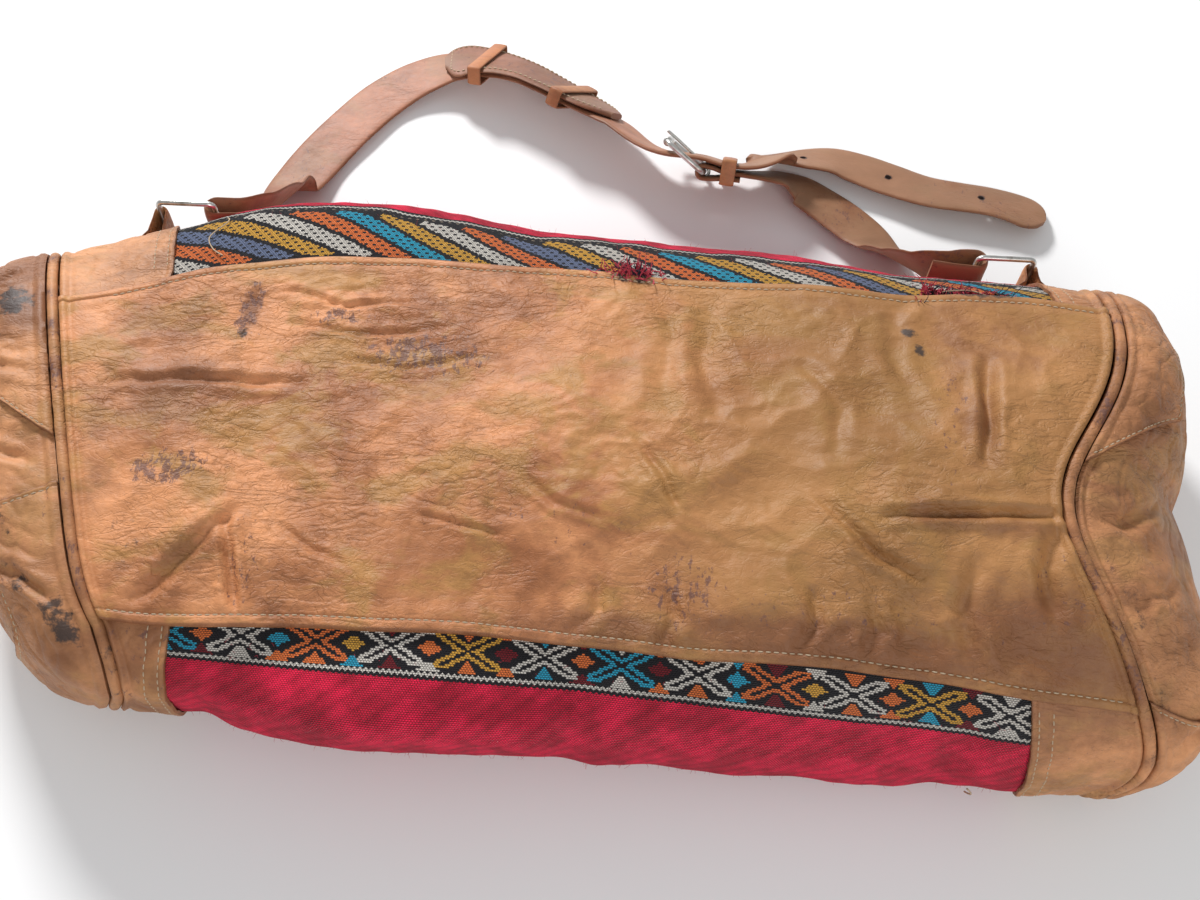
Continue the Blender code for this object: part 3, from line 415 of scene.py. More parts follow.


# %% Leather materials
# The first colour is for brown places, and also paints shade in creases and stitch grooves.
MARKS = ((0.205, 0.078, 0.034), (0.150, 0.072, 0.060), (0.036, 0.028, 0.027))
base_leather = leather_material(
    "base_leather",
    (0.64, 0.275, 0.118),
    (0.31, 0.115, 0.044),
    (0.40, 0.200, 0.062),
    0.00075,
    MARKS,
    ((0.34, 0.170, 0.056), -0.04, 0.10),
)
end_leather = leather_material(
    "end_leather", (0.55, 0.250, 0.110), (0.30, 0.130, 0.056), (0.40, 0.200, 0.076), 0.00070, MARKS
)
strap_leather = leather_material(
    "strap_leather",
    (0.40, 0.175, 0.105),
    (0.28, 0.115, 0.065),
    (0.33, 0.165, 0.090),
    0.00018,
    MARKS,
    ((0.270, 0.145, 0.078), 0.02, 0.10),
)
pad_leather = leather_material(
    "pad_leather", (0.29, 0.135, 0.090), (0.19, 0.085, 0.055), (0.25, 0.135, 0.080), 0.00022, MARKS
)
keeper_leather = leather_material(
    "keeper_leather", (0.42, 0.165, 0.072), (0.30, 0.112, 0.050), (0.38, 0.165, 0.070), 0.00018, MARKS
)
print("leathers:", [m.name for m in bpy.data.materials if "leather" in m.name])

# %% [markdown]
# ## Kilim
#
# A kilim is a flat weave: its pattern is made of small cells of yarn, so that every slanted
# edge is really a row of steps. The cloth's UV map holds metres: x along the bag and the
# distance from the base panel's hem. The pattern is a formula of the cell's own place.

# %% Cells of the weave
CELL_WIDTH = 0.0015
CELL_HEIGHT = 0.0011


def cell_group():
    tree, (cloth,) = begin_group("kilim_cells", {"Cloth": "vector"})
    x, v, _ = axes(cloth)
    row = (v / CELL_HEIGHT).floor()
    shift = row / 2 - (row / 2).floor()
    column = (x / CELL_WIDTH + shift).floor()
    local_x = x / CELL_WIDTH + shift - column - 0.5
    local_v = v / CELL_HEIGHT - row - 0.5
    height = (local_x * local_x * 2.6 + local_v * local_v * 3.0) * -1 + 1
    outputs = [("Cell X", "number", (column - shift + 0.5) * CELL_WIDTH)]
    outputs += [("Cell V", "number", (row + 0.5) * CELL_HEIGHT), ("Height", "number", height.high(0.0))]
    return end_group(tree, outputs)


CELL_GROUP = cell_group()
WHITE = (0.76, 0.71, 0.64)
ORANGE = (0.86, 0.200, 0.050)
YELLOW = (0.76, 0.40, 0.06)
TURQUOISE = (0.03, 0.40, 0.60)
DARK_RED = (0.20, 0.012, 0.020)
BLUE_GREY = (0.17, 0.21, 0.34)
BLACK = (0.016, 0.014, 0.018)
RED = (0.88, 0.014, 0.070)
DEEP_RED = (0.58, 0.010, 0.042)

# %% The front band: crosses and diamonds on black
CROSS_PITCH = 0.039
FIRST_CROSS = -0.216
BORDER_MIDDLE = 0.0222
BORDER_SLOPE = 0.006
CROSSES = (TURQUOISE, WHITE, ORANGE, WHITE, YELLOW, WHITE) + (TURQUOISE, WHITE, ORANGE, WHITE, YELLOW, WHITE)
DIAMONDS = (ORANGE, TURQUOISE, YELLOW, ORANGE, DARK_RED, ORANGE, DARK_RED, TURQUOISE, YELLOW)
DIAMONDS += (ORANGE, ORANGE, YELLOW)
NOTCHES = (DARK_RED, ORANGE, TURQUOISE, WHITE, ORANGE)


def zigzag(x, height, width, rise):
    """1 on a zigzag line where height is near 0."""
    teeth = (x / width - (x / width).floor() - 0.5).size() * 2 - 0.5
    return (height - teeth * rise).size()


def red_ground(x, v, position):
    """Red yarn: a slightly uneven dye, with painted shade in dark diagonal gaps between the yarns."""
    # Painted shade: slant makes the colour darker in thin diagonal gaps.
    slant = ((x * 0.8 + v) / 0.0031).math("SINE").size()
    uneven = cloudy(position, 55, 3.0, 0.6)
    dye = mixed(uneven.rise(0.35, 0.65), DEEP_RED, RED)
    return dimmed(dye, uneven * 0.5 + slant * 0.30 + 0.72)


def front_band_group():
    tree, (cloth, position) = begin_group("front_band", {"Cloth": "vector", "Position": "vector"})
    cells = use_group(tree, CELL_GROUP, {"Cloth": cloth})
    fine_x, fine_v, _ = axes(cloth)
    x = cells["Cell X"]
    height = x * BORDER_SLOPE + BORDER_MIDDLE - cells["Cell V"]
    place = (x - FIRST_CROSS) / CROSS_PITCH + 0.5
    number = place.floor()
    across = ((place - number - 0.5) * CROSS_PITCH).size()
    between = (x - FIRST_CROSS) / CROSS_PITCH
    gap_number = between.floor()
    from_gap = ((between - gap_number - 0.5) * CROSS_PITCH).size()
    up = (height - 0.0125).size()
    slant = (across - up * 1.70).size()
    diamond = (from_gap / 0.0064 + up / 0.0042).below(1.0)
    notch = (across - (up - 0.0042) * 0.75).below(0.0) * up.above(0.0052)
    side_notch = (from_gap - (up - 0.0062) * 1.1).below(0.0) * up.above(0.0062)
    arms = slant.below(0.0058) * up.below(0.0097) * across.below(0.0168)
    core = slant.below(0.0016) * up.below(0.0078) * across.below(0.0150)
    colour = mixed(notch * up.below(0.0118), BLACK, chosen(number + 2, NOTCHES))
    colour = mixed(side_notch * up.below(0.0118), colour, chosen(gap_number, NOTCHES))
    colour = mixed(diamond, colour, chosen(gap_number, DIAMONDS))
    colour = mixed(arms, colour, chosen(number, CROSSES))
    colour = mixed(core, colour, BLACK)
    fine_height = fine_x * BORDER_SLOPE + BORDER_MIDDLE - fine_v
    red = red_ground(fine_x, fine_v, position)
    colour = mixed(fine_height.below(0.0005), colour, BLACK)
    colour = mixed(zigzag(fine_x, fine_height + 0.0008, 0.0030, 0.0013).below(0.00085), colour, WHITE)
    beads = zigzag(fine_x, fine_height + 0.0030, 0.0030, 0.0009)
    colour = mixed(fine_height.below(-0.0027) * beads.above(0.0006), colour, red)
    return end_group(tree, [("Color", "colour", colour), ("Height", "number", cells["Height"])])


# %% The back band: slanting stripes with a lattice of black knots
STRIPE_PITCH = 0.0236
STRIPE_SLANT = 1.60
STRIPES = (WHITE, ORANGE, BLUE_GREY, YELLOW, WHITE, ORANGE, TURQUOISE, YELLOW)
FIRST_STRIPE = 11.0
BAND_LOW = -0.0060
BAND_HIGH = 0.0300
BAND_RISE = 0.25
KNOT_WIDTH = 0.0050
KNOT_HEIGHT = 0.0033


def back_band_group():
    tree, (cloth, position) = begin_group("back_band", {"Cloth": "vector", "Position": "vector"})
    cells = use_group(tree, CELL_GROUP, {"Cloth": cloth})
    fine_x, fine_v, _ = axes(cloth)
    x, v = cells["Cell X"], cells["Cell V"]
    place = (x + v * STRIPE_SLANT) / STRIPE_PITCH + FIRST_STRIPE
    number = place.floor()
    from_middle = (place - number - 0.5).size()
    band_high = x * x * BAND_RISE + BAND_HIGH
    taper = ((v - BAND_LOW) / 0.0030).low((band_high - v) / 0.0040).low(1.0)
    stripe = (from_middle - taper * 0.39).below(0.0)
    knot_row = (fine_v / KNOT_HEIGHT).floor()
    knot_shift = knot_row / 2 - (knot_row / 2).floor()
    knot_column = fine_x / KNOT_WIDTH + knot_shift
    knot_x = (knot_column - knot_column.floor() - 0.5).size() * KNOT_WIDTH
    knot_v = (fine_v / KNOT_HEIGHT - knot_row - 0.5).size() * KNOT_HEIGHT
    knots = knot_x.below(0.00105) * knot_v.below(0.00085)
    colour = mixed(stripe, BLACK, chosen(number, STRIPES))
    colour = mixed(knots * stripe, colour, BLACK)
    over = fine_v - (fine_x * fine_x * BAND_RISE + BAND_HIGH)
    dots = (knot_x / 0.0012 + knot_v / 0.0010).below(1.0)
    colour = mixed(over.above(0.0005) * dots * over.below(0.0030), colour, (0.30, 0.24, 0.18))
    colour = mixed(zigzag(fine_x, over - 0.0050, 0.0030, 0.0012).below(0.00085), colour, WHITE)
    red = red_ground(fine_x, fine_v, position)
    colour = mixed(over.above(0.0080), colour, red)
    return end_group(tree, [("Color", "colour", colour), ("Height", "number", cells["Height"])])


# %% Kilim materials
def kilim_material(name, group):
    """Wool: rough, with the cells' relief, fine twist in the yarn and a little fuzz; the colour is painted
    darker between the cells as painted shade.
    """
    made, tree, shader, position = new_material(name, 0.92, 0.0, 0.2)
    cloth = tree.nodes.new("ShaderNodeUVMap")
    cloth.uv_map = "cloth"
    values = {"Cloth": Field(tree, cloth.outputs[0]), "Position": position}
    parts = use_group(tree, group, values)
    twist = cloudy(stretched(position, (1.0, 2.2, 2.2)), 900, 3.0, 0.7)
    worn = cloudy(position, 34, 4.0, 0.6)
    # Painted shade: the colour is darker where a cell's height falls, between the yarn cells; twist and worn
    # are the yarn's own tone.
    tone_and_painted_shade = parts["Height"] * 0.75 + twist * 0.65 + worn * 0.40 - 0.10
    plug(tree, dimmed(parts["Color"], tone_and_painted_shade), shader.inputs["Base Color"])
    shader.inputs["Sheen Weight"].default_value = 0.08
    shader.inputs["Sheen Roughness"].default_value = 0.5
    add_bump(tree, shader, parts["Height"] * 0.75 + twist * 0.25, 0.0016)
    return made


front_cloth = kilim_material("front_kilim_cloth", front_band_group())
back_cloth = kilim_material("back_kilim_cloth", back_band_group())


# %% Thread, zip and metal materials
def thread_material(name, colour):
    made, tree, shader, position = new_material(name, 0.85, 0.0, 0.3)
    fibres = cloudy(position, 1500, 2.0, 0.6)
    plug(tree, dimmed(paint_field(tree, colour), fibres * 0.5 + 0.7), shader.inputs["Base Color"])
    add_bump(tree, shader, fibres, 0.00015)
    return made


def nickel_material():
    """Plated steel, a little dull, with fine scratches and darker handling marks."""
    made, tree, shader, position = new_material("worn_nickel", 0.3, 1.0)
    dull = cloudy(position, 130, 4.0, 0.6)
    scratches = cloudy(stretched(position, (1.0, 8.0, 3.0)), 700, 2.0, 0.5)
    plating = mixed(dull.rise(0.45, 0.7), (0.66, 0.65, 0.62), (0.36, 0.33, 0.29))
    plug(tree, plating, shader.inputs["Base Color"])
    plug(tree, dull * 0.3 + scratches * 0.12 + 0.12, shader.inputs["Roughness"])
    add_bump(tree, shader, scratches, 0.00004)
    return made


def zip_material(name, colour, pitch):
    """Woven tape or the ribs of the coil, across the zip's length; the colour is painted darker between the
    ribs as painted shade.
    """
    made, tree, shader, position = new_material(name, 0.8, 0.0, 0.3)
    x, y, _ = axes(position)
    ribs = (x / pitch).math("SINE").size() * 0.6 + (y / pitch).math("SINE").size() * 0.4
    # Painted shade: the colour is darker in the gaps between the ribs.
    plug(tree, dimmed(paint_field(tree, colour), ribs * 0.5 + 0.6), shader.inputs["Base Color"])
    add_bump(tree, shader, ribs, 0.0002)
    return made


off_white_thread = thread_material("off_white_thread", (0.50, 0.38, 0.26))
red_yarn = thread_material("red_yarn", (0.50, 0.055, 0.085))
dark_yarn = thread_material("dark_yarn", (0.020, 0.020, 0.035))
tape_cloth = zip_material("zip_tape_cloth", (0.075, 0.045, 0.028), 0.00022)
coil_nylon = zip_material("zip_coil_nylon", (0.10, 0.065, 0.040), 0.0006)
nickel = nickel_material()
print("materials:", len(bpy.data.materials))

# %% [markdown]
# ## The bag's skin
#
# The soft panels of the real bag are sewn edge to edge, and together they make one slumped
# skin. A place on it has two numbers: u from -1 at the left seam to 1 at the right seam, and s,
# the distance round the bag from the middle of the base panel. The CAD source uses the same
# numbers, so every detailed panel here lies where its plain CAD piece lies.

# %% Sizes, as in the CAD source
BASE_DEPTH = 0.244
KILIM_DEPTH = 0.215
TOP_DEPTH = 0.120
HALF_LENGTH = 0.2885
SKIN_FLOOR = 0.0018
BULGE = {-1: 0.066, 1: 0.047}
CROWN = np.array([0.096, 0.098, 0.108, 0.122, 0.134])
WIDTH = np.array([0.272, 0.344, 0.334, 0.326, 0.299])
MIDDLE = np.array([0.004, 0.020, 0.0175, 0.010, 0.000])
ROLL = np.array([0.007, 0.002, 0.008, 0.015, 0.027])
SHOULDER = np.array([0.062, 0.066, 0.048, 0.036, 0.032])
GAP = 0.0003
LAYER_GAP = 0.0005
LEATHER = 0.0020
STRIP_LEATHER = 0.0015
HEM_OVERLAP = 0.012
TOP_OVERLAP = 0.006
STRIP_OVERLAP = 0.014
PIPING_RADIUS = 0.0032
SEAM_GAP = 0.0010
PATCH_GAP = 0.0011
STRIP_EDGE = {
    "front_left": (-0.7383 * HALF_LENGTH, -0.7556 * HALF_LENGTH),
    "front_right": (0.7695 * HALF_LENGTH, 0.8666 * HALF_LENGTH),
    "back_left": (-0.8873 * HALF_LENGTH, -1.0260 * HALF_LENGTH),
    "back_right": (0.8977 * HALF_LENGTH, 0.9081 * HALF_LENGTH),
}
TEAR_LEFT = 0.176
TEAR_RIGHT = 0.243
TEAR_DEPTH = 0.017
UNDERSIDE_START = 0.23
ROUND = BASE_DEPTH + 2 * KILIM_DEPTH + TOP_DEPTH
RUN_END = 1 - (PIPING_RADIUS + SEAM_GAP) / HALF_LENGTH
KILIM_END = RUN_END - 0.01
HEM = BASE_DEPTH / 2
UNDER_HEM = HEM - HEM_OVERLAP
TOP_START = HEM + KILIM_DEPTH
UP = np.array((0.0, 0.0, 1.0))
TURN = np.linspace(-math.pi, math.pi, 1441)


# %% The skin as a table of points
def along(values, u):
    """Smooth value at u, from -1 at the left seam to 1 at the right seam."""
    place = (np.clip(u, -1, 1) + 1) / 2 * (len(values) - 1)
    i = np.minimum(np.floor(place).astype(int), len(values) - 2)
    f = place - i
    slopes = np.gradient(values)
    blend = (1 + 2 * f) * (1 - f) ** 2
    smooth = values[i] * blend + values[i + 1] * (1 - blend)
    return smooth + slopes[i] * f * (1 - f) ** 2 - slopes[i + 1] * f * f * (1 - f)


def power(value, exponent):
    return np.sign(value) * np.abs(value) ** exponent


def bump(value, centre, width):
    return np.exp(-(((value - centre) / width) ** 2))


def smooth_step(value, start, end):
    t = np.clip((value - start) / (end - start), 0, 1)
    return t * t * (3 - 2 * t)


def section(u):
    """The slumped bag's cross-section: y and z once round."""
    crown, width, middle, shoulder = [along(v, u) for v in (CROWN, WIDTH, MIDDLE, SHOULDER)]
    y = middle - width / 2 * power(np.sin(TURN), 0.80)
    lift = np.cos(TURN)
    above = shoulder + (crown - shoulder) * power(lift, 0.86)
    below = shoulder - (shoulder - SKIN_FLOOR + 0.002) * np.abs(lift) ** 0.55
    return y, np.maximum(np.where(lift > 0, above, below), SKIN_FLOOR)


def seam_x(side, s):
    """Where an end seam lies: it slants, and the right one is pushed in at its middle."""
    if side < 0:
        middle = -HALF_LENGTH - 0.012
        seam = -HALF_LENGTH - 0.003 + 0.26 * np.clip(s, -0.2, 0.13) + 0.017 * bump(s, 0.168, 0.042)
    else:
        middle = HALF_LENGTH - 0.011
        dent = 0.036 * bump(s, 0.008, 0.064)
        seam = middle - 0.10 * np.clip(s, -0.2, 0.2) - dent + 0.028 * bump(s, 0.17, 0.06)
    return seam + (middle - seam) * smooth_step(np.abs(s), UNDERSIDE_START, ROUND / 2)


def skin_table(u_places, s_places):
    """Points of the skin and its outward directions, at [u, s]."""
    points = np.zeros((len(u_places), len(s_places), 3))
    for i, u in enumerate(u_places):
        y, z = section(u)
        run = np.concatenate([[0], np.cumsum(np.hypot(np.diff(y), np.diff(z)))])
        place = np.interp(0, TURN, run) + (along(ROLL, u) + s_places) * run[-1] / ROUND
        place = np.mod(place, run[-1])
        points[i, :, 1] = np.interp(place, run, y)
        points[i, :, 2] = np.interp(place, run, z)
    share = (u_places[:, None] + 1) / 2
    points[..., 0] = seam_x(-1, s_places) * (1 - share) + seam_x(1, s_places) * share
    outward = np.cross(np.gradient(points, axis=1), np.gradient(points, axis=0))
    return points, outward / np.linalg.norm(outward, axis=-1, keepdims=True)


SKIN_COLUMNS = 401
SKIN_ROWS = 801
SKIN_POINTS, SKIN_OUTWARD = skin_table(
    np.linspace(-1, 1, SKIN_COLUMNS), np.linspace(-ROUND / 2, ROUND / 2, SKIN_ROWS)
)


def skin(u, s, lift=0.0):
    """Points of the skin at these places, raised outward by lift."""
    u, s, lift = np.broadcast_arrays(*[np.asarray(value, float) for value in (u, s, lift)])
    column = np.clip((u + 1) / 2, 0, 1) * (SKIN_COLUMNS - 1)
    row = np.mod(s + ROUND / 2, ROUND) / ROUND * (SKIN_ROWS - 1)
    i = np.minimum(column.astype(int), SKIN_COLUMNS - 2)
    j = np.minimum(row.astype(int), SKIN_ROWS - 2)
    a, b = (column - i)[..., None], (row - j)[..., None]
    found = []
    for table in (SKIN_POINTS, SKIN_OUTWARD):
        low = table[i, j] * (1 - b) + table[i, j + 1] * b
        high = table[i + 1, j] * (1 - b) + table[i + 1, j + 1] * b
        found.append(low * (1 - a) + high * a)
    outward = found[1] / np.linalg.norm(found[1], axis=-1, keepdims=True)
    return found[0] + outward * lift[..., None]


def u_at_x(x, s):
    left, right = seam_x(-1, s), seam_x(1, s)
    return 2 * (x - left) / (right - left) - 1


def x_at_u(u, s):
    share = (u + 1) / 2
    return seam_x(-1, s) * (1 - share) + seam_x(1, s) * share


print("skin:", SKIN_POINTS.shape[:2], "places")

# %% [markdown]
# ## Meshes
#
# Each soft piece is a fine grid of points. Its height above the skin comes from functions of
# place, such as slack, wrinkles and puckers, so that layers which share the slack never cross.


# %% Mesh helpers
def grid_faces(rows, columns, closed_rows=False, closed_columns=False):
    """Quads between neighbours of a grid whose points are counted row by row."""
    i, j = np.meshgrid(
        np.arange(rows if closed_rows else rows - 1),
        np.arange(columns if closed_columns else columns - 1),
        indexing="ij",
    )
    i, j = i.ravel(), j.ravel()
    i2, j2 = (i + 1) % rows, (j + 1) % columns
    return np.stack([i * columns + j, i * columns + j2, i2 * columns + j2, i2 * columns + j], axis=1)


def add_piece(name, points, faces, paint, body="bag_body", replaced=(), sharp=70):
    """A mesh object that rides on a body, with its material and the CAD nodes it stands for."""
    data = bpy.data.meshes.new(name)
    data.from_pydata(np.asarray(points).reshape(-1, 3).tolist(), [], [list(map(int, f)) for f in faces])
    data.materials.append(paint)
    data.shade_smooth()
    data.set_sharp_from_angle(angle=math.radians(sharp))
    made = bpy.data.objects.new(name, data)
    bpy.context.scene.collection.objects.link(made)
    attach(made, body)
    if replaced:
        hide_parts(*replaced)
    return made


def add_panel(node, points, paint, kind="leather"):
    """A sheet of leather or cloth in place of a solid, from a grid of points."""
    return add_piece(f"{node}_{kind}", points, grid_faces(*points.shape[:2]), paint, replaced=(node,))


def set_cloth_map(made, x, v):
    """The UV map in metres that the kilim's pattern reads."""
    layer = made.data.uv_layers.new(name="cloth")
    corner = np.zeros(len(made.data.loops), int)
    made.data.loops.foreach_get("vertex_index", corner)
    places = np.stack([np.ravel(x)[corner], np.ravel(v)[corner]], axis=1)
    layer.data.foreach_set("uv", places.ravel())


def set_marks(made, brown, scuffed, dirty):
    """The marks that the leather materials read: each is 0 to 1 at every vertex."""
    layer = made.data.color_attributes.new("marks", "FLOAT_COLOR", "POINT")
    channels = [np.clip(np.ravel(m), 0, 1) for m in (brown, scuffed, dirty, 0 * brown + 1)]
    values = np.stack(channels, axis=1)
    layer.data.foreach_set("color", values.ravel())


def with_rim(grid, depth):
    """A grid's edge rows and columns doubled, the new ones lower by depth, for lift grids."""
    wide = np.pad(grid, 1, mode="edge")
    if depth:
        wide[0, :] -= depth
        wide[-1, :] -= depth
        wide[:, 0] = wide[:, 1] - depth
        wide[:, -1] = wide[:, -2] - depth
    return wide


HEIGHT_ANGLES = np.random.default_rng(4).uniform(0, 2 * math.pi, (256, 256))


def waves(x, y, size, seed=0):
    """Smooth random heights from about -1 to 1, with hills of about this size in metres."""
    px, py = np.asarray(x) / size + 13.7 * seed, np.asarray(y) / size + 7.9 * seed
    i, j = np.floor(px).astype(int), np.floor(py).astype(int)
    fx, fy = px - i, py - j
    blend_x, blend_y = [f**3 * (f * (6 * f - 15) + 10) for f in (fx, fy)]
    total = 0
    for di in (0, 1):
        for dj in (0, 1):
            angle = HEIGHT_ANGLES[(i + di) % 256, (j + dj) % 256]
            slope = np.cos(angle) * (fx - di) + np.sin(angle) * (fy - dj)
            total = total + slope * (blend_x if di else 1 - blend_x) * (blend_y if dj else 1 - blend_y)
    return total * 1.5


def folds(x, y, size, seed, thin=0.10):
    """1 on a net of thin lines, 0 between them: where soft leather creases."""
    bent_x = x + 0.35 * size * waves(x, y, size * 1.3, seed + 5)
    bent_y = y + 0.35 * size * waves(x, y, size * 1.3, seed + 6)
    return np.exp(-((waves(bent_x, bent_y, size, seed) / thin) ** 2))


def crumple(x, y, size, seed):
    """Flat hollows between sharp ridges, about -0.5 to 0.5, like leather that has been folded up."""
    bent_x = x + 0.4 * size * waves(x, y, size * 1.7, seed + 15)
    bent_y = y + 0.4 * size * waves(x, y, size * 1.7, seed + 16)
    return np.clip(1 - 1.9 * np.abs(waves(bent_x, bent_y, size, seed)), 0, 1) ** 1.3 - 0.5


def crease(x, s, path, width):
    """A valley with a raised lip on both sides along a line of places, fading at its ends."""
    points = np.array(path, float)
    wobble = 0.35 * width
    x = x + wobble * waves(x, s, 0.016, 31)
    s = s + wobble * waves(x, s, 0.016, 32)
    nearest, share = np.full(np.shape(x), 9.0), np.zeros(np.shape(x))
    for k in range(len(points) - 1):
        run = points[k + 1] - points[k]
        t = np.clip(((x - points[k][0]) * run[0] + (s - points[k][1]) * run[1]) / (run @ run), 0, 1)
        distance = np.hypot(x - points[k][0] - t * run[0], s - points[k][1] - t * run[1])
        share = np.where(distance < nearest, (k + t) / (len(points) - 1), share)
        nearest = np.minimum(nearest, distance)
    fade = np.sqrt(np.sin(math.pi * np.clip(share, 0.0, 1.0)).clip(0, 1))
    valley = np.exp(-((nearest / width) ** 2))
    lip = np.exp(-(((nearest - 2.0 * width) / (1.1 * width)) ** 2))
    return fade * (0.55 * lip - valley)


def spots(x, s, places):
    """The strongest of several soft oval spots: x, s, half width, half height, strength."""
    total = np.zeros(np.shape(x))
    for at_x, at_s, wide, high, strength in places:
        reach = ((x - at_x) / wide) ** 2 + ((s - at_s) / high) ** 2
        total = np.maximum(total, strength * np.exp(-(reach**1.5)))
    return total


# %% Stitches
STITCH_SECTIONS = (
    (0.0, 0.35, -0.6),
    (0.14, 0.85, 0.1),
    (0.5, 1.0, 0.45),
    (0.86, 0.85, 0.1),
    (1.0, 0.35, -0.6),
)


def add_stitches(name, points, outward, pitch=0.004, length=0.0029, radius=0.00042, paint=None):
    """A row of separate stitches along a line of points; each is a thick short thread."""
    points, outward = np.asarray(points), np.asarray(outward)
    distance = np.concatenate([[0], np.cumsum(np.linalg.norm(np.diff(points, axis=0), axis=1))])
    places = np.arange(pitch, distance[-1] - pitch / 2, pitch)

    def along_line(at, values):
        return np.stack([np.interp(at, distance, values[:, axis]) for axis in range(3)], 1)

    ends = [along_line(places + d * length / 2, points) for d in (-1, 1)]
    out = along_line(places, outward)
    out /= np.linalg.norm(out, axis=1, keepdims=True)
    run = ends[1] - ends[0]
    run /= np.linalg.norm(run, axis=1, keepdims=True)
    side = np.cross(run, out)
    rings = []
    for share, thick, rise in STITCH_SECTIONS:
        centre = ends[0] * (1 - share) + ends[1] * share + out * radius * rise
        for k in range(6):
            angle = math.pi * k / 3
            rings.append(centre + radius * thick * (math.cos(angle) * side + math.sin(angle) * out))
    stacked = np.stack(rings, axis=1)
    single = grid_faces(5, 6, closed_columns=True)
    offsets = np.arange(len(places)) * 30
    faces = (single[None] + offsets[:, None, None]).reshape(-1, 4)
    return add_piece(name, stacked, faces, paint or off_white_thread)


def stitch_line(name, u, s, lift, **kinds):
    """A row of stitches on the skin."""
    surface = skin(u, s, lift)
    return add_stitches(name, surface, skin(u, s, np.asarray(lift) + 0.01) - surface, **kinds)


print("mesh helpers ready")

# %% [markdown]
# ## Base panel
#
# The bag lies on its zip side, so this thick leather panel is on top and fills the middle of
# the photograph. It is one fine grid. Long creases are placed where the photograph shows
# them; the small wrinkles, puckers and slack between them are seeded noise.

# %% Slack that all layers share
FRONT_FOLDS = (
    (-0.196, 0.010, 0.0030),
    (-0.008, 0.012, 0.0026),
    (0.118, 0.014, 0.0018),
    (0.190, 0.011, 0.0028),
)


def slack(x, s, u):
    """How far the slumped skin stands above or below its smooth shape."""
    at_ends = smooth_step((1 - np.abs(u)) * HALF_LENGTH, 0.004, 0.050)
    above_floor = 1 - smooth_step(np.abs(s), 0.20, 0.27)
    broad = 0.0032 * waves(x, s, 0.105, 1) + 0.0016 * waves(x, s, 0.052, 2)
    front = sum(-depth * bump(x + 0.10 * (s - 0.18), at, wide) for at, wide, depth in FRONT_FOLDS)
    front = front * smooth_step(s, 0.128, 0.165)
    return (broad + front) * at_ends * above_floor


# %% Creases of the base panel
CREASES = (
    ([(0.212, -0.078), (0.207, -0.040), (0.202, -0.004)], 0.0034, 0.0030),
    ([(0.146, 0.034), (0.190, 0.025), (0.240, 0.018)], 0.0028, 0.0026),
    ([(0.117, 0.027), (0.145, 0.056), (0.168, 0.066)], 0.0030, 0.0019),
    ([(0.020, 0.000), (0.035, 0.022), (0.045, 0.044)], 0.0024, 0.0012),
    ([(0.026, -0.116), (0.040, -0.070), (0.034, -0.022)], 0.0060, 0.0014),
    ([(0.064, -0.112), (0.055, -0.060), (0.067, -0.012)], 0.0052, 0.0012),
    ([(0.236, 0.024), (0.226, 0.050), (0.232, 0.084)], 0.0042, 0.0022),
    ([(-0.274, -0.038), (-0.212, -0.027), (-0.162, -0.020)], 0.0032, 0.0016),
    ([(-0.193, 0.062), (-0.187, 0.090), (-0.181, 0.119)], 0.0028, 0.0021),
    ([(-0.238, 0.112), (-0.212, 0.085), (-0.184, 0.055)], 0.0040, 0.0022),
    ([(-0.166, 0.068), (-0.147, 0.080), (-0.126, 0.090)], 0.0020, 0.0009),
    ([(-0.094, 0.059), (-0.070, 0.063), (-0.046, 0.067)], 0.0018, 0.0009),
    ([(-0.190, -0.096), (-0.150, -0.080), (-0.100, -0.086)], 0.0024, 0.0009),
    ([(-0.182, -0.068), (-0.140, -0.056), (-0.088, -0.064)], 0.0024, 0.0011),
    ([(-0.150, -0.040), (-0.110, -0.034), (-0.066, -0.046)], 0.0022, 0.0009),
    ([(0.104, 0.118), (0.116, 0.096), (0.112, 0.078)], 0.0036, 0.0016),
    ([(0.136, 0.118), (0.146, 0.098), (0.140, 0.080)], 0.0036, 0.0015),
    ([(-0.010, 0.118), (0.004, 0.100), (0.002, 0.084)], 0.0036, 0.0014),
    ([(0.036, 0.118), (0.044, 0.102), (0.040, 0.086)], 0.0034, 0.0013),
    ([(0.196, 0.046), (0.186, 0.080), (0.196, 0.116)], 0.0044, 0.0016),
    ([(0.168, -0.112), (0.160, -0.070), (0.172, -0.030)], 0.0048, 0.0012),
    ([(0.110, -0.060), (0.130, -0.030), (0.124, 0.000)], 0.0040, 0.0011),
    ([(-0.040, 0.030), (-0.020, 0.046), (0.006, 0.052)], 0.0024, 0.0008),
)
HEM_BEAD = 0.0062


def hem_profile(from_edge):
    """The turned hem: a round bead, a groove where its stitches pull in, and a low swell."""
    bead = 0.0009 * np.sqrt(np.clip(1 - ((from_edge - 0.0031) / 0.0034) ** 2, 0, 1))
    edge = -LEATHER * 0.75 * np.clip(1 - from_edge / 0.0013, 0, 1) ** 2
    groove = -0.00055 * bump(from_edge, HEM_BEAD, 0.0008)
    return bead + edge + groove + 0.0004 * bump(from_edge, 0.011, 0.004)


def base_underside(u):
    return GAP + (STRIP_LEATHER + LAYER_GAP) * np.clip((np.abs(u) - 0.62) / 0.10, 0, 1)


def seam_bead(u):
    """The panels' own turned edge beside the piping."""
    from_end = (RUN_END - np.abs(u)) * HALF_LENGTH
    return 0.0015 * bump(from_end, 0.0022, 0.0015) - 0.0006 * bump(from_end, 0.0056, 0.0012)


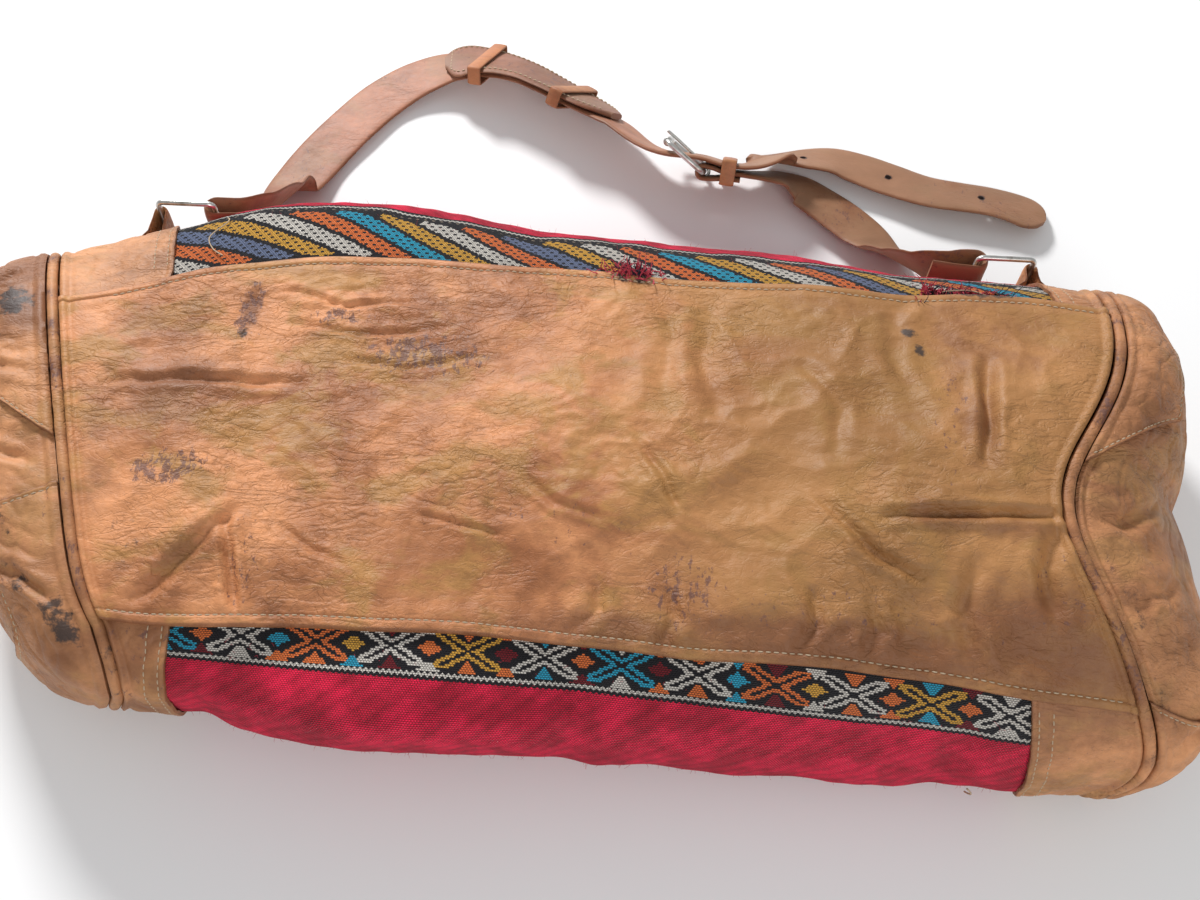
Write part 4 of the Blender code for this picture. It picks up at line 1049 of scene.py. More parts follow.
def base_lift(x, s, u):
    """The base panel's outer face above the skin."""
    from_edge = HEM - np.abs(s)
    inside = smooth_step(from_edge, 0.006, 0.024)
    away = smooth_step((RUN_END - np.abs(u)) * HALF_LENGTH, 0.006, 0.03)
    lift = base_underside(u) + LEATHER + slack(x, s, u) + hem_profile(from_edge) + seam_bead(u)
    for path, width, depth in CREASES:
        lift = lift + 1.6 * depth * crease(x, s, path, width) * smooth_step(from_edge, 0.005, 0.012)
    right = 0.45 + 0.55 * smooth_step(x, -0.04, 0.10)
    patchy = 0.35 + 0.65 * smooth_step(waves(x, s, 0.07, 8), -0.3, 0.4)
    crumpled = 0.0034 * crumple(x, s, 0.070, 3) + 0.0018 * crumple(x, s, 0.036, 4)
    lift = lift + crumpled * inside * right * away
    lift = lift + 0.0008 * crumple(x * 0.8, s * 1.3, 0.017, 5) * inside * patchy * away
    lift = lift - 0.00045 * folds(x * 0.8, s * 1.5, 0.0125, 9, 0.12) * inside * patchy * away
    pulled = np.exp(-np.clip(from_edge - 0.006, 0, 1) / 0.017) * smooth_step(from_edge, 0.002, 0.007)
    front = smooth_step(s, 0, 0.05) * bump(x, 0.07, 0.11)
    lift = lift + (0.0008 + 0.0010 * front) * waves(x, from_edge * 0.25, 0.0095, 12) * pulled
    gathered = np.exp(-(RUN_END - np.abs(u)) * HALF_LENGTH / 0.018)
    lift = lift + 0.00095 * waves(s, x * 0.25, 0.0095, 14) * gathered * away
    facet = smooth_step(x, 0.205, 0.219) * smooth_step(-s, -0.012, 0.004) * smooth_step(s, -0.090, -0.070)
    return lift + 0.0016 * facet * away + 0.00012 * waves(x, s, 0.005, 17) * inside


# %% Base panel mesh
def dense_near_ends(low, high, coarse, fine, reach):
    """Places from low to high, closer together near both ends."""
    head = np.arange(0, reach, fine)
    middle = np.linspace(low + reach, high - reach, max(2, round((high - low - 2 * reach) / coarse)))
    return np.concatenate([low + head, middle, (high - head)[::-1]])


BROWN_SPOTS = (
    (-0.240, -0.022, 0.045, 0.030, 0.75),
    (-0.158, 0.018, 0.012, 0.018, 0.45),
    (-0.212, 0.083, 0.030, 0.014, 0.55),
    (-0.204, -0.082, 0.006, 0.024, 0.85),
    (0.200, -0.040, 0.016, 0.050, 0.60),
    (0.225, 0.090, 0.060, 0.038, 0.85),
    (0.215, -0.095, 0.050, 0.040, 0.55),
    (-0.255, -0.080, 0.034, 0.045, 0.50),
    (-0.262, 0.020, 0.026, 0.060, 0.50),
    (0.140, 0.108, 0.120, 0.018, 0.95),
    (0.020, 0.112, 0.080, 0.012, 0.80),
    (0.044, 0.084, 0.022, 0.024, 0.40),
    (0.190, 0.030, 0.050, 0.010, 0.60),
    (0.160, -0.100, 0.070, 0.014, 0.35),
    (-0.110, -0.112, 0.120, 0.008, 0.40),
)
SCUFF_SPOTS = (
    (-0.152, -0.071, 0.020, 0.010, 0.9),
    (-0.100, -0.045, 0.048, 0.017, 0.9),
    (-0.226, 0.032, 0.030, 0.015, 0.9),
    (-0.205, -0.080, 0.010, 0.030, 0.9),
    (-0.180, 0.092, 0.014, 0.034, 0.6),
    (0.050, 0.088, 0.026, 0.026, 0.7),
    (0.190, -0.030, 0.024, 0.050, 0.5),
    (0.235, 0.060, 0.020, 0.040, 0.5),
    (-0.020, 0.060, 0.050, 0.018, 0.4),
    (0.120, 0.090, 0.100, 0.020, 0.45),
)
DIRT_SPOTS = (
    (0.172, -0.090, 0.0055, 0.0040, 1.0),
    (0.177, -0.078, 0.0045, 0.0045, 1.0),
    (0.016, -0.119, 0.017, 0.007, 0.9),
    (0.222, -0.121, 0.030, 0.004, 0.7),
    (-0.205, -0.062, 0.004, 0.008, 0.6),
    (-0.246, 0.080, 0.010, 0.022, 0.35),
)

FRONT_HEM = (
    (-0.27, 0.002),
    (-0.216, 0.008),
    (-0.172, 0.003),
    (-0.053, 0.001),
    (0.057, 0.003),
    (0.108, -0.003),
    (0.27, 0.0),
)
BACK_HEM = (
    (-0.33, -0.006),
    (-0.29, -0.0085),
    (-0.15, -0.0085),
    (-0.03, -0.004),
    (0.06, -0.004),
    (0.17, 0.0),
    (0.206, 0.005),
    (0.26, 0.011),
)


def hem_wander(x, sign):
    """How far the real hem lies outward of its straight line."""
    places, offsets = np.array(FRONT_HEM if sign > 0 else BACK_HEM).T
    smooth = sum(np.interp(x + d, places, offsets) for d in (-0.02, -0.01, 0, 0.01, 0.02)) / 5
    return smooth + 0.0008 * waves(x, 0 * x, 0.05, 21)


def add_base_panel():
    u_line = np.linspace(-RUN_END, RUN_END, 440)
    s_line = dense_near_ends(-HEM, HEM, 0.00135, 0.00042, 0.0085)
    s_grid, u_grid = np.meshgrid(s_line, u_line, indexing="ij")
    x = x_at_u(u_grid, s_grid)
    wander = np.where(s_grid > 0, hem_wander(x, 1), hem_wander(x, -1))
    s_place = s_grid + np.sign(s_grid) * wander * smooth_step(np.abs(s_grid), 0.05, HEM)
    lift = with_rim(base_lift(x, s_grid, u_grid), 0.0022)
    points = skin(with_rim(u_grid, 0), with_rim(s_place, 0), lift)
    made = add_panel("base_panel", points, base_leather)
    x, s = with_rim(x, 0), with_rim(s_grid, 0)
    # Darker at the hem's cut edge, and painted shade along the hem's stitch groove.
    edge = bump(HEM - np.abs(s), 0.0005, 0.0016) * 0.8 + 0.55 * bump(HEM - np.abs(s), HEM_BEAD, 0.0008)
    # Painted shade: the crease valleys are made darker through the brown channel.
    crease_shade = 0 * x
    for path, width, depth in CREASES:
        crease_shade = crease_shade + np.clip(-crease(x, s, path, width * 1.1), 0, 1) * min(1, depth * 300)
    brown = np.maximum(spots(x, s, BROWN_SPOTS), np.maximum(edge, crease_shade * 0.62))
    set_marks(made, brown, spots(x, s, SCUFF_SPOTS), spots(x, s, DIRT_SPOTS))
    return made


def add_hem_stitches():
    x = np.linspace(-0.29, 0.29, 900)
    for name, sign in (("front", 1), ("back", -1)):
        s = np.full(len(x), sign * (HEM - HEM_BEAD))
        u = u_at_x(x, s)
        keep = np.abs(u) < RUN_END - 0.012
        u, s, x_kept = u[keep], s[keep], x[keep]
        wander = hem_wander(x_kept, sign) * smooth_step(HEM - HEM_BEAD, 0.05, HEM)
        stitch_line(name + "_hem_stitches", u, s + sign * wander, base_lift(x_kept, s, u) + 0.0001)


print("base panel:", len(add_base_panel().data.vertices), "points")
add_hem_stitches()

# %% [markdown]
# ## Kilim sides and their leather corners
#
# Each kilim is one woven sheet that runs under the base panel's hem. At both ends it goes under
# a leather corner strip, which is sewn down with two rows of stitches.


# %% Kilim sheets
def strip_edge_x(corner, s):
    x_hem, x_top = STRIP_EDGE[corner]
    return x_hem + (x_top - x_hem) * np.clip((np.abs(s) - HEM) / KILIM_DEPTH, 0, 1)


def kilim_lift(x, s, u):
    """A kilim's outer face: it follows the slack, is lumpy, and sinks a little under the hem."""
    from_hem = np.abs(s) - HEM
    free = smooth_step(from_hem, 0.002, 0.02)
    lumps = 0.0006 * waves(x, s, 0.014, 41) + 0.0009 * waves(x, s, 0.030, 42)
    return slack(x, s, u) + lumps * free - 0.0004


def torn_edge(x):
    """How far below the hem's stitching the back kilim starts; it is torn open in one place."""
    bay = smooth_step(np.minimum(x - TEAR_LEFT, TEAR_RIGHT - x), 0.0, 0.012)
    ragged = 1 + 0.20 * waves(x, 0 * x, 0.006, 44) + 0.10 * waves(x, 0 * x, 0.002, 45)
    return UNDER_HEM + (HEM_OVERLAP + TEAR_DEPTH * ragged) * bay


def add_kilim(name, sign, left_corner, right_corner, paint):
    under = np.linspace(UNDER_HEM, HEM, 7)[:-1]
    s_line = sign * np.concatenate([under, np.linspace(HEM, TOP_START + TOP_OVERLAP, 120)])
    share = np.linspace(0, 1, 360)
    s = np.repeat(s_line[:, None], len(share), axis=1)
    low = np.clip(u_at_x(strip_edge_x(left_corner, s) - STRIP_OVERLAP, s), -KILIM_END, KILIM_END)
    high = np.clip(u_at_x(strip_edge_x(right_corner, s) + STRIP_OVERLAP, s), -KILIM_END, KILIM_END)
    u = low + (high - low) * share
    x = x_at_u(u, s)
    if sign < 0:
        start = torn_edge(x)
        row = np.arange(len(s_line))[:, None]
        s = -np.maximum(-s, start + 0.00012 * row)
    lift = with_rim(kilim_lift(x, s, u), 0.0016)
    u, s, x = [with_rim(grid, 0) for grid in (u, s, x)]
    points = skin(u, s, lift)
    points[..., 2] = np.maximum(points[..., 2], 0.0006)
    made = add_panel(name, points, paint, "cloth")
    set_cloth_map(made, x, np.abs(s) - HEM)
    return made


add_kilim("front_kilim", 1, "front_left", "front_right", front_cloth)
add_kilim("back_kilim", -1, "back_left", "back_right", back_cloth)


# %% Corner strips
def strip_lift(x, s, u, from_edge):
    """A corner strip's outer face; from_edge is the distance from its sewn edge."""
    lift = slack(x, s, u) + LAYER_GAP + STRIP_LEATHER + seam_bead(u)
    lift = lift + 0.0005 * bump(from_edge, 0.0016, 0.0016) - 0.0004 * bump(from_edge, 0.0035, 0.0007)
    lift = lift - 0.0004 * bump(from_edge, 0.0110, 0.0007)
    free = smooth_step(np.abs(s) - HEM, 0.004, 0.016)
    away = smooth_step((RUN_END - np.abs(u)) * HALF_LENGTH, 0.003, 0.012)
    lift = lift + 0.0009 * waves(s, x, 0.013, 51) * free * away
    return lift - 0.0006 * folds(x, s, 0.016, 52) * free * away


def add_corner_strip(corner, sign, side):
    under = np.linspace(UNDER_HEM, HEM, 6)[:-1]
    s_line = sign * np.concatenate([under, np.linspace(HEM, TOP_START - GAP, 124)])
    share = np.linspace(0, 1, 52) ** 1.3
    s = np.repeat(s_line[:, None], len(share), axis=1)
    edge_u = np.clip(u_at_x(strip_edge_x(corner, s), s), -KILIM_END, KILIM_END)
    u = edge_u + (side * RUN_END - edge_u) * share
    x = x_at_u(u, s)
    from_edge = np.abs(x - x_at_u(edge_u, s))
    lift = with_rim(strip_lift(x, s, u, from_edge), STRIP_LEATHER + LAYER_GAP)
    edge = with_rim(from_edge, 0)
    u, s, x = [with_rim(grid, 0) for grid in (u, s, x)]
    points = skin(u, s, lift)
    points[..., 2] = np.maximum(points[..., 2], 0.0004)
    name = corner + "_corner_strip"
    made = add_panel(name, points, end_leather)
    dark = {"front_left": 0.85, "front_right": 0.55, "back_left": 0.05, "back_right": 0.35}[corner]
    # Darker at the strip's cut edge, and painted shade along the groove of the first stitch row.
    seam = bump(edge, 0.0, 0.0012) * 0.7 + bump(edge, 0.0035, 0.0008) * 0.4
    # Smudges that make the strip darker towards the floor.
    darker_near_floor = smooth_step(np.abs(s), 0.20, 0.27) * 0.4
    brown = np.maximum(seam, dark * (0.7 + 0.3 * waves(x, s, 0.02, 53)))
    set_marks(made, brown, 0.5 * dark + 0 * s, darker_near_floor)
    for number, distance in enumerate((0.0035, 0.0110)):
        s_row = sign * np.linspace(HEM + 0.003, TOP_START - 0.004, 300)
        x_row = strip_edge_x(corner, s_row) + side * distance
        u_row = u_at_x(x_row, s_row)
        keep = np.abs(u_row) < RUN_END - 0.012
        u_row, s_row, x_row = u_row[keep], s_row[keep], x_row[keep]
        height = strip_lift(x_row, s_row, u_row, np.full(len(s_row), distance))
        stitch_line(f"{corner}_strip_stitches_{number + 1}", u_row, s_row, height)


for face, sign in (("front", 1), ("back", -1)):
    for end, side in (("left", -1), ("right", 1)):
        add_corner_strip(f"{face}_{end}", sign, side)
print("kilims and corner strips")

# %% [markdown]
# ## End panels, their patches and the piping
#
# Each end of the bag is one leather oval, slack enough to bulge outward. It is gathered where it
# joins the seam, and a second layer is sewn over two of its corners. A leather-covered cord, the
# piping, lies in the seam.


# %% End surface
def end_surface(side, s, turn):
    """An end panel's smooth shape: turn is 90 degrees at the seam and 0 at the bulge's middle."""
    seam = skin(float(side), s)
    end = 0 if side < 0 else -1
    middle_x = seam_x(side, np.linspace(-ROUND / 2, ROUND / 2, 41)).mean()
    centre = np.array((middle_x, MIDDLE[end], (CROWN[end] + SKIN_FLOOR) / 2))
    points = centre + (seam - centre) * (np.sin(turn) ** 0.72)[..., None]
    points[..., 0] += side * (PIPING_RADIUS + SEAM_GAP + BULGE[side] * np.cos(turn).clip(0, 1) ** 0.85)
    return points


def end_point(side, s, turn, lift=0.0):
    """Points of an end panel raised outward by lift."""
    s, turn, lift = np.broadcast_arrays(s, turn, lift)
    step = 0.02
    round_end = end_surface(side, s + step / 4, turn) - end_surface(side, s - step / 4, turn)
    inward = end_surface(side, s, turn - step) - end_surface(side, s, turn + step)
    outward = np.cross(round_end, inward) * side
    outward /= np.maximum(np.linalg.norm(outward, axis=-1, keepdims=True), 1e-9)
    points = end_surface(side, s, turn) + outward * lift[..., None]
    points[..., 2] = np.maximum(points[..., 2], 0.0004)
    return points


END_CREASES = {
    -1: (
        ([(-0.050, 0.006), (-0.062, 0.040), (-0.050, 0.080)], 0.0042, 0.0026),
        ([(0.020, 0.004), (0.012, 0.036), (0.022, 0.070)], 0.0040, 0.0024),
        ([(0.118, 0.004), (0.104, 0.030), (0.112, 0.064)], 0.0050, 0.0032),
        ([(-0.150, 0.006), (-0.140, 0.030), (-0.150, 0.070)], 0.0040, 0.0022),
    ),
    1: (
        ([(0.012, 0.004), (0.020, 0.036), (0.008, 0.074)], 0.0050, 0.0034),
        ([(0.070, 0.004), (0.060, 0.030), (0.066, 0.060)], 0.0044, 0.0026),
        ([(-0.060, 0.004), (-0.050, 0.034), (-0.066, 0.070)], 0.0042, 0.0022),
        ([(0.150, 0.004), (0.140, 0.030), (0.150, 0.060)], 0.0040, 0.0022),
    ),
}


def end_depth(turn):
    """About how far in from the seam a place on an end panel is."""
    return (math.pi / 2 - turn) * 0.075


def end_relief(side, s, turn):
    """Gathers at the seam, slack further in, and a few long creases."""
    depth = end_depth(turn)
    inside = smooth_step(depth, 0.003, 0.020)
    above_floor = 1 - smooth_step(np.abs(s), 0.24, 0.32)
    relief = 0.0026 * waves(s, depth, 0.062, 63 + side) + 0.0012 * waves(s, depth, 0.028, 68 + side)
    for path, width, height in END_CREASES[side]:
        relief = relief + height * crease(s, depth, path, width)
    relief = (relief - 0.0008 * folds(s, depth * 1.2, 0.024, 73 + side)) * inside * above_floor
    gathers = 0.0011 * waves(s, depth * 0.35, 0.0105, 78 + side) * np.exp(-depth / 0.020)
    seam = 0.0012 * bump(depth, 0.0022, 0.0014) - 0.0007 * bump(depth, 0.0056, 0.0012)
    return relief + gathers * smooth_step(depth, 0.001, 0.006) + seam


END_STAINS = {
    -1: (
        (-0.115, 0.016, 0.016, 0.014, 1.0),
        (-0.090, 0.034, 0.012, 0.012, 0.8),
        (0.130, 0.012, 0.018, 0.010, 0.9),
        (0.108, 0.030, 0.014, 0.012, 0.6),
        (0.060, 0.030, 0.030, 0.010, 0.35),
    ),
    1: (
        (0.185, 0.020, 0.012, 0.010, 0.9),
        (0.060, 0.014, 0.030, 0.010, 0.35),
        (0.120, 0.010, 0.020, 0.008, 0.5),
    ),
}


def mark_end(made, side, s, turn, edge=0.0):
    depth = end_depth(turn)
    brown = np.maximum(0.55 * np.exp(-depth / 0.005), 0.20 + 0.45 * waves(s, depth, 0.035, 83 + side))
    if side < 0:
        brown = brown + 0.65 * smooth_step(-s, 0.06, 0.10) * (1 - smooth_step(-s, 0.2, 0.26))
    scuffed = 0.10 + 0.45 * waves(s, depth, 0.030, 86 + side)
    set_marks(made, np.maximum(brown, edge), scuffed, spots(s, depth, END_STAINS[side]))


def add_end(name, side):
    s_line = np.linspace(-ROUND / 2, ROUND / 2, 360, endpoint=False)
    turn_line = np.radians(np.concatenate([np.linspace(90, 84, 10)[:-1], np.linspace(84, 4, 58)]))
    s, turn = np.meshgrid(s_line, turn_line)
    points = end_point(side, s, turn, end_relief(side, s, turn))
    centre = points[-1].mean(axis=0)
    faces = [list(f) for f in grid_faces(len(turn_line), len(s_line), closed_columns=True)]
    first, middle = (len(turn_line) - 1) * len(s_line), len(turn_line) * len(s_line)
    faces += [[first + j, first + (j + 1) % len(s_line), middle] for j in range(len(s_line))]
    everything = np.concatenate([points.reshape(-1, 3), centre[None]])
    made = add_piece(name + "_leather", everything, faces, end_leather, replaced=(name,))
    mark_end(made, side, np.append(s, 0.0), np.append(turn, math.radians(4)))


add_end("left_end", -1)
add_end("right_end", 1)

# %% Patches over the corners of the ends
PATCHES = (
    ("left_end_back_patch", -1, (-0.25, 0.04), (0.000, -0.06), 46),
    ("left_end_front_patch", -1, (0.035, 0.03), (0.26, -0.04), 40),
    ("right_end_back_patch", 1, (-0.27, 0.04), (-0.016, -0.05), 46),
    ("right_end_front_patch", 1, (0.115, 0.03), (0.26, -0.04), 36),
)
PATCH_STITCH = 0.0032


def add_patch(name, side, s_from, s_to, reach):
    share = np.linspace(0, 1, 40)[:, None]
    across = dense_near_ends(0.0, 1.0, 0.0065, 0.0030, 0.03)[None, :]
    start, end = s_from[0] + s_from[1] * share, s_to[0] + s_to[1] * share
    s = start + (end - start) * across
    turn = np.radians(90 - reach * share) + 0 * s
    edge = np.minimum(s - start, end - s)
    far = (1 - share) * math.radians(reach) * 0.075
    near_edge = np.minimum(edge, far)
    lift = PATCH_GAP + STRIP_LEATHER + end_relief(side, s, turn)
    lift = lift + 0.0004 * bump(near_edge, 0.0014, 0.0014) - 0.0005 * bump(near_edge, PATCH_STITCH, 0.0007)
    lift = with_rim(lift, PATCH_GAP + STRIP_LEATHER)
    s, turn, near_edge = [with_rim(grid, 0) for grid in (s, turn, near_edge)]
    points = end_point(side, s, turn, lift)
    made = add_panel(name, points, end_leather)
    mark_end(made, side, s, turn, 0.9 * bump(near_edge, 0.0, 0.0013))
    k = np.linspace(0.02, 1 - PATCH_STITCH / (math.radians(reach) * 0.075), 160)
    long_start = s_from[0] + s_from[1] * k + PATCH_STITCH
    long_end = s_to[0] + s_to[1] * k - PATCH_STITCH
    last = np.linspace(long_start[-1], long_end[-1], 160)
    s_route = np.concatenate([long_start, last[1:-1], long_end[::-1]])
    k_route = np.concatenate([k, np.full(len(last) - 2, k[-1]), k[::-1]])
    turn_route = np.radians(90 - reach * k_route)
    height = PATCH_GAP + STRIP_LEATHER + end_relief(side, s_route, turn_route) - 0.0002
    place = end_point(side, s_route, turn_route, height)
    raised = end_point(side, s_route, turn_route, height + 0.01)
    add_stitches(name + "_stitches", place, raised - place)


for patch in PATCHES:
    add_patch(*patch)


# %% Piping
def unit(vector):
    return np.asarray(vector, float) / np.linalg.norm(vector, axis=-1, keepdims=True)


def tube_points(path, side, radius, sides, closed):
    """Circles of points round a path; side is one direction across it, at every point."""
    path = np.asarray(path, float)
    if closed:
        run = unit(np.roll(path, -1, axis=0) - np.roll(path, 1, axis=0))
    else:
        run = unit(np.gradient(path, axis=0))
    other = unit(np.cross(run, side))
    side = unit(np.cross(other, run))
    angle = np.arange(sides) * 2 * math.pi / sides
    circle = np.cos(angle)[None, :, None] * side[:, None] + np.sin(angle)[None, :, None] * other[:, None]
    return path[:, None] + circle * np.broadcast_to(radius, len(path))[:, None, None]


def add_piping(name, side):
    count = 420
    s = np.arange(count) * ROUND / count - ROUND / 2
    centre = skin(float(side), s)
    outward = skin(float(side), s, 1.0) - centre
    outward[:, 0] = 0
    outward = unit(outward)
    centre = centre + outward * 0.001
    centre[:, 2] = np.maximum(centre[:, 2], PIPING_RADIUS)
    radius = PIPING_RADIUS * (1 + 0.07 * waves(s, 0 * s, 0.011, 91 + side))
    points = tube_points(centre, outward, radius, 16, True)
    made = add_piece(
        name + "_cord",
        points,
        grid_faces(count, 16, True, True),
        end_leather,
        replaced=(name,),
    )
    worn = np.repeat(0.45 + 0.4 * waves(s, 0 * s, 0.02, 93)[:, None], 16, axis=1)
    set_marks(made, worn, worn, 0.4 * smooth_step(np.repeat(s[:, None], 16, axis=1), 0.08, 0.16))


add_piping("left_piping", -1)
add_piping("right_piping", 1)
print("ends, patches and piping")

# %% [markdown]
# ## Shoulder strap
#
# The strap is flat leather, about 4 cm wide. It is modelled directly as a ribbon along the CAD
# source's route, with round edges. It isn't a free cord: both ends are sewn round the rings.

# %% Strap sizes and route, as in the CAD source
STRAP_WIDTH = 0.040
STRAP_THICK = 0.0036
RING_WIRE = 0.0018
RING_LENGTH = 0.036
RING_HEIGHT = 0.046
RING_CORNER = 0.004
RING_X = {-1: -0.287, 1: 0.271}
RING_STANDOFF = {-1: 0.0275, 1: 0.021}
STRAP_LOOP = 0.0065
STRAP_FLAP = 0.028
STRAP_EASE = 0.0012
STRAP_TIP = 0.017
TAB_WIDTH = 0.030
TAB_THICK = 0.0022
TAB_FOOT = 0.020
PAD_WIDTH = 0.050
PAD_THICK = 0.0048
KEEPER_WIDTH = 0.010
KEEPER_THICK = 0.0014
KEEPER_EASE = 0.0011
FRAME_WIRE = 0.0019
FRAME_LENGTH = 0.032
FRAME_CORNER = 0.005
FRAME_SIDE_ROOM = 0.003
FRAME_LIFT = math.radians(32)
ROLLER_WALL = 0.0010
TONGUE_WIRE = 0.0011
TONGUE_OVERHANG = 0.003
HEEL = np.array((0.0657, 0.2790, 0.0215))
HEEL_HEADING = math.radians(-8)
HEEL_LEAN = math.radians(45)
HEEL_ALONG = np.array((math.cos(HEEL_HEADING), math.sin(HEEL_HEADING), 0.0))
HEEL_AXIS = np.cross(HEEL_ALONG, UP) * math.cos(HEEL_LEAN) + UP * math.sin(HEEL_LEAN)
HEEL_OUT = np.cross(HEEL_AXIS, HEEL_ALONG)
FOLD_FLAP = 0.026
HOLE_RADIUS = 0.0022
HOLE_PLACES = (0.052, 0.116, 0.183)
ROUTE_STEPS = 9


def smooth_route(stations):
    """A smooth curve through the stations, with several points between each two."""
    knots = np.array(stations, float)
    distance = np.concatenate([[0], np.cumsum(np.linalg.norm(np.diff(knots[:, :3], axis=0), axis=1))])
    slopes = np.gradient(knots, distance, axis=0)
    points = []
    for i in range(len(knots) - 1):
        length = distance[i + 1] - distance[i]
        for k in range(ROUTE_STEPS):
            f = k / ROUTE_STEPS
            blend = (1 + 2 * f) * (1 - f) ** 2
            point = knots[i] * blend + knots[i + 1] * (1 - blend)
            point += length * (slopes[i] * f * (1 - f) ** 2 - slopes[i + 1] * f * f * (1 - f))
            points.append(point)
    points.append(knots[-1])
    return np.array(points)


def lean_route(stations):
    """Centres and edge-to-edge directions of a strap from its lower edge and its lean in degrees."""
    points = smooth_route(stations)
    heading = unit(np.gradient(points[:, :2], axis=0))
    lean = np.radians(points[:, 3])
    across = np.stack([heading[:, 1] * np.cos(lean), -heading[:, 0] * np.cos(lean), np.sin(lean)], axis=1)
    return points[:, :3] + across * STRAP_WIDTH / 2, across


def ribbon_frames(centres, across):
    """Unit directions across and through a ribbon at each of its points."""
    run = unit(np.gradient(centres, axis=0))
    across = unit(across - run * (across * run).sum(axis=1, keepdims=True))
    return across, np.cross(across, run)


def back_wall_y(x):
    u = float(u_at_x(x, -HEM - KILIM_DEPTH / 2))
    return float(along(MIDDLE, u) + along(WIDTH, u) / 2)


def ring_bars(side):
    """The middles of a ring's two upright bars: the one in its tab and the one in the strap."""
    tab = np.array((RING_X[side], back_wall_y(RING_X[side]) + RING_STANDOFF[side], RING_HEIGHT))
    return tab, tab + np.array((-side * RING_LENGTH, 0, 0))


def strap_loop_middle(side):
    return ring_bars(side)[1] + np.array((0, STRAP_LOOP - RING_WIRE - 2 * GAP - STRAP_THICK / 2, 0))


def strap_fold_round_ring(side):
    """Centres of the strap's sewn-back end, from its flap round the ring's bar."""
    bar = strap_loop_middle(side)
    arc = []
    for degrees in range(-90, 91, 10):
        angle = math.radians(degrees)
        arc.append(bar + np.array((side * math.cos(angle), math.sin(angle), 0)) * STRAP_LOOP)
    flap_end = bar + np.array((-side * STRAP_FLAP, -STRAP_LOOP + 0.003, 0))
    half_way = bar + np.array((-side * STRAP_FLAP / 2, -STRAP_LOOP + 0.001, 0))
    return np.array([flap_end, half_way] + arc)


def at_heel(along_strap, outward, across=0.0):
    """A point near the buckle, from the heel bar's middle."""
    return HEEL + along_strap * HEEL_ALONG + outward * HEEL_OUT + across * HEEL_AXIS


def heel_station(along_strap, outward, lean=45.0):
    return (*at_heel(along_strap, outward, -STRAP_WIDTH / 2), lean)


HEEL_FOLD = FRAME_WIRE + 2 * GAP + STRAP_THICK / 2
OVER_HEEL = HEEL_FOLD + STRAP_THICK + STRAP_EASE
OVER_LAYERS = STRAP_THICK * 1.5 + STRAP_EASE
STRAP_FLOOR = 0.0022


def near_ring(side, stations):
    """Route stations near a ring: x and y from its strap bar, share of the drop to the surface, lean."""
    bar = strap_loop_middle(side) - UP * STRAP_WIDTH / 2
    drop = bar[2] - STRAP_FLOOR
    return [(bar[0] + x, bar[1] + y, bar[2] - drop * share, lean) for x, y, share, lean in stations]


LONG_START = near_ring(
    -1,
    [
        (0.0060, STRAP_LOOP, 0.0, 90),
        (0.0110, 0.0090, 0.03, 86),
        (0.0160, 0.0200, 0.24, 70),
        (0.0140, 0.0400, 0.64, 42),
        (0.0080, 0.0660, 0.95, 17),
    ],
)
LONG_REST = [
    (-0.2345, 0.283, STRAP_FLOOR, 7),
    (-0.207, 0.334, STRAP_FLOOR, 5),
    (-0.182, 0.368, STRAP_FLOOR, 5),
    (-0.156, 0.388, 0.0040, 8),
    (-0.129, 0.398, 0.0060, 12),
    (-0.104, 0.398, 0.0070, 18),
    (-0.082, 0.392, 0.0075, 25),
    (-0.059, 0.381, 0.0080, 31),
    (-0.038, 0.367, 0.0080, 35),
    (-0.014, 0.350, 0.0080, 38),
    (0.011, 0.331, 0.0100, 41),
    heel_station(-0.028, OVER_HEEL - 0.0005),
    heel_station(-0.014, OVER_HEEL),
    heel_station(0.000, OVER_HEEL),
    heel_station(0.009, (OVER_HEEL + OVER_LAYERS) / 2),
    heel_station(0.018, OVER_LAYERS),
    heel_station(0.025, OVER_LAYERS + 0.0006),
    (0.1045, 0.306, 0.0075, 39),
    (0.119, 0.3145, 0.0030, 34),
    (0.140, 0.3215, STRAP_FLOOR, 27),
    (0.163, 0.324, STRAP_FLOOR, 20),
    (0.186, 0.319, STRAP_FLOOR, 15),
    (0.209, 0.310, STRAP_FLOOR, 14),
    (0.232, 0.3005, STRAP_FLOOR, 17),
    (0.254, 0.2965, STRAP_FLOOR, 19),
    (0.276, 0.293, STRAP_FLOOR, 19),
    (0.299, 0.286, STRAP_FLOOR, 17),
    (0.317, 0.276, STRAP_FLOOR, 15),
]
SHORT_ROUTE = [
    (0.1045, 0.2945, 0.0058, 40),
    (0.123, 0.2975, 0.0032, 32),
    (0.141, 0.2950, STRAP_FLOOR, 22),
    (0.161, 0.2825, STRAP_FLOOR, 17),
    (0.181, 0.2660, STRAP_FLOOR, 15),
    (0.197, 0.2470, STRAP_FLOOR, 19),
] + near_ring(
    1,
    [
        (-0.0300, 0.0540, 0.99, 28),
        (-0.0240, 0.0340, 0.73, 46),
        (-0.0185, 0.0185, 0.37, 66),
        (-0.0115, 0.0092, 0.09, 84),
        (-0.0050, STRAP_LOOP, 0.0, 90),
    ],
)
TAIL_STATIONS = 12


# %% Ribbons with round edges
def rounded(length_start, length_end, least=0.12):
    """Width share of a ribbon whose ends are rounded over these lengths."""

    def share(distance, total):
        factor = np.ones(len(distance))
        for gone, length in ((distance, length_start), (total - distance, length_end)):
            if length:
                near = np.sqrt(np.clip(1 - (1 - np.clip(gone / length, 0, 1)) ** 2, 0, 1))
                factor = np.minimum(factor, np.maximum(least, near))
        return factor

    return share


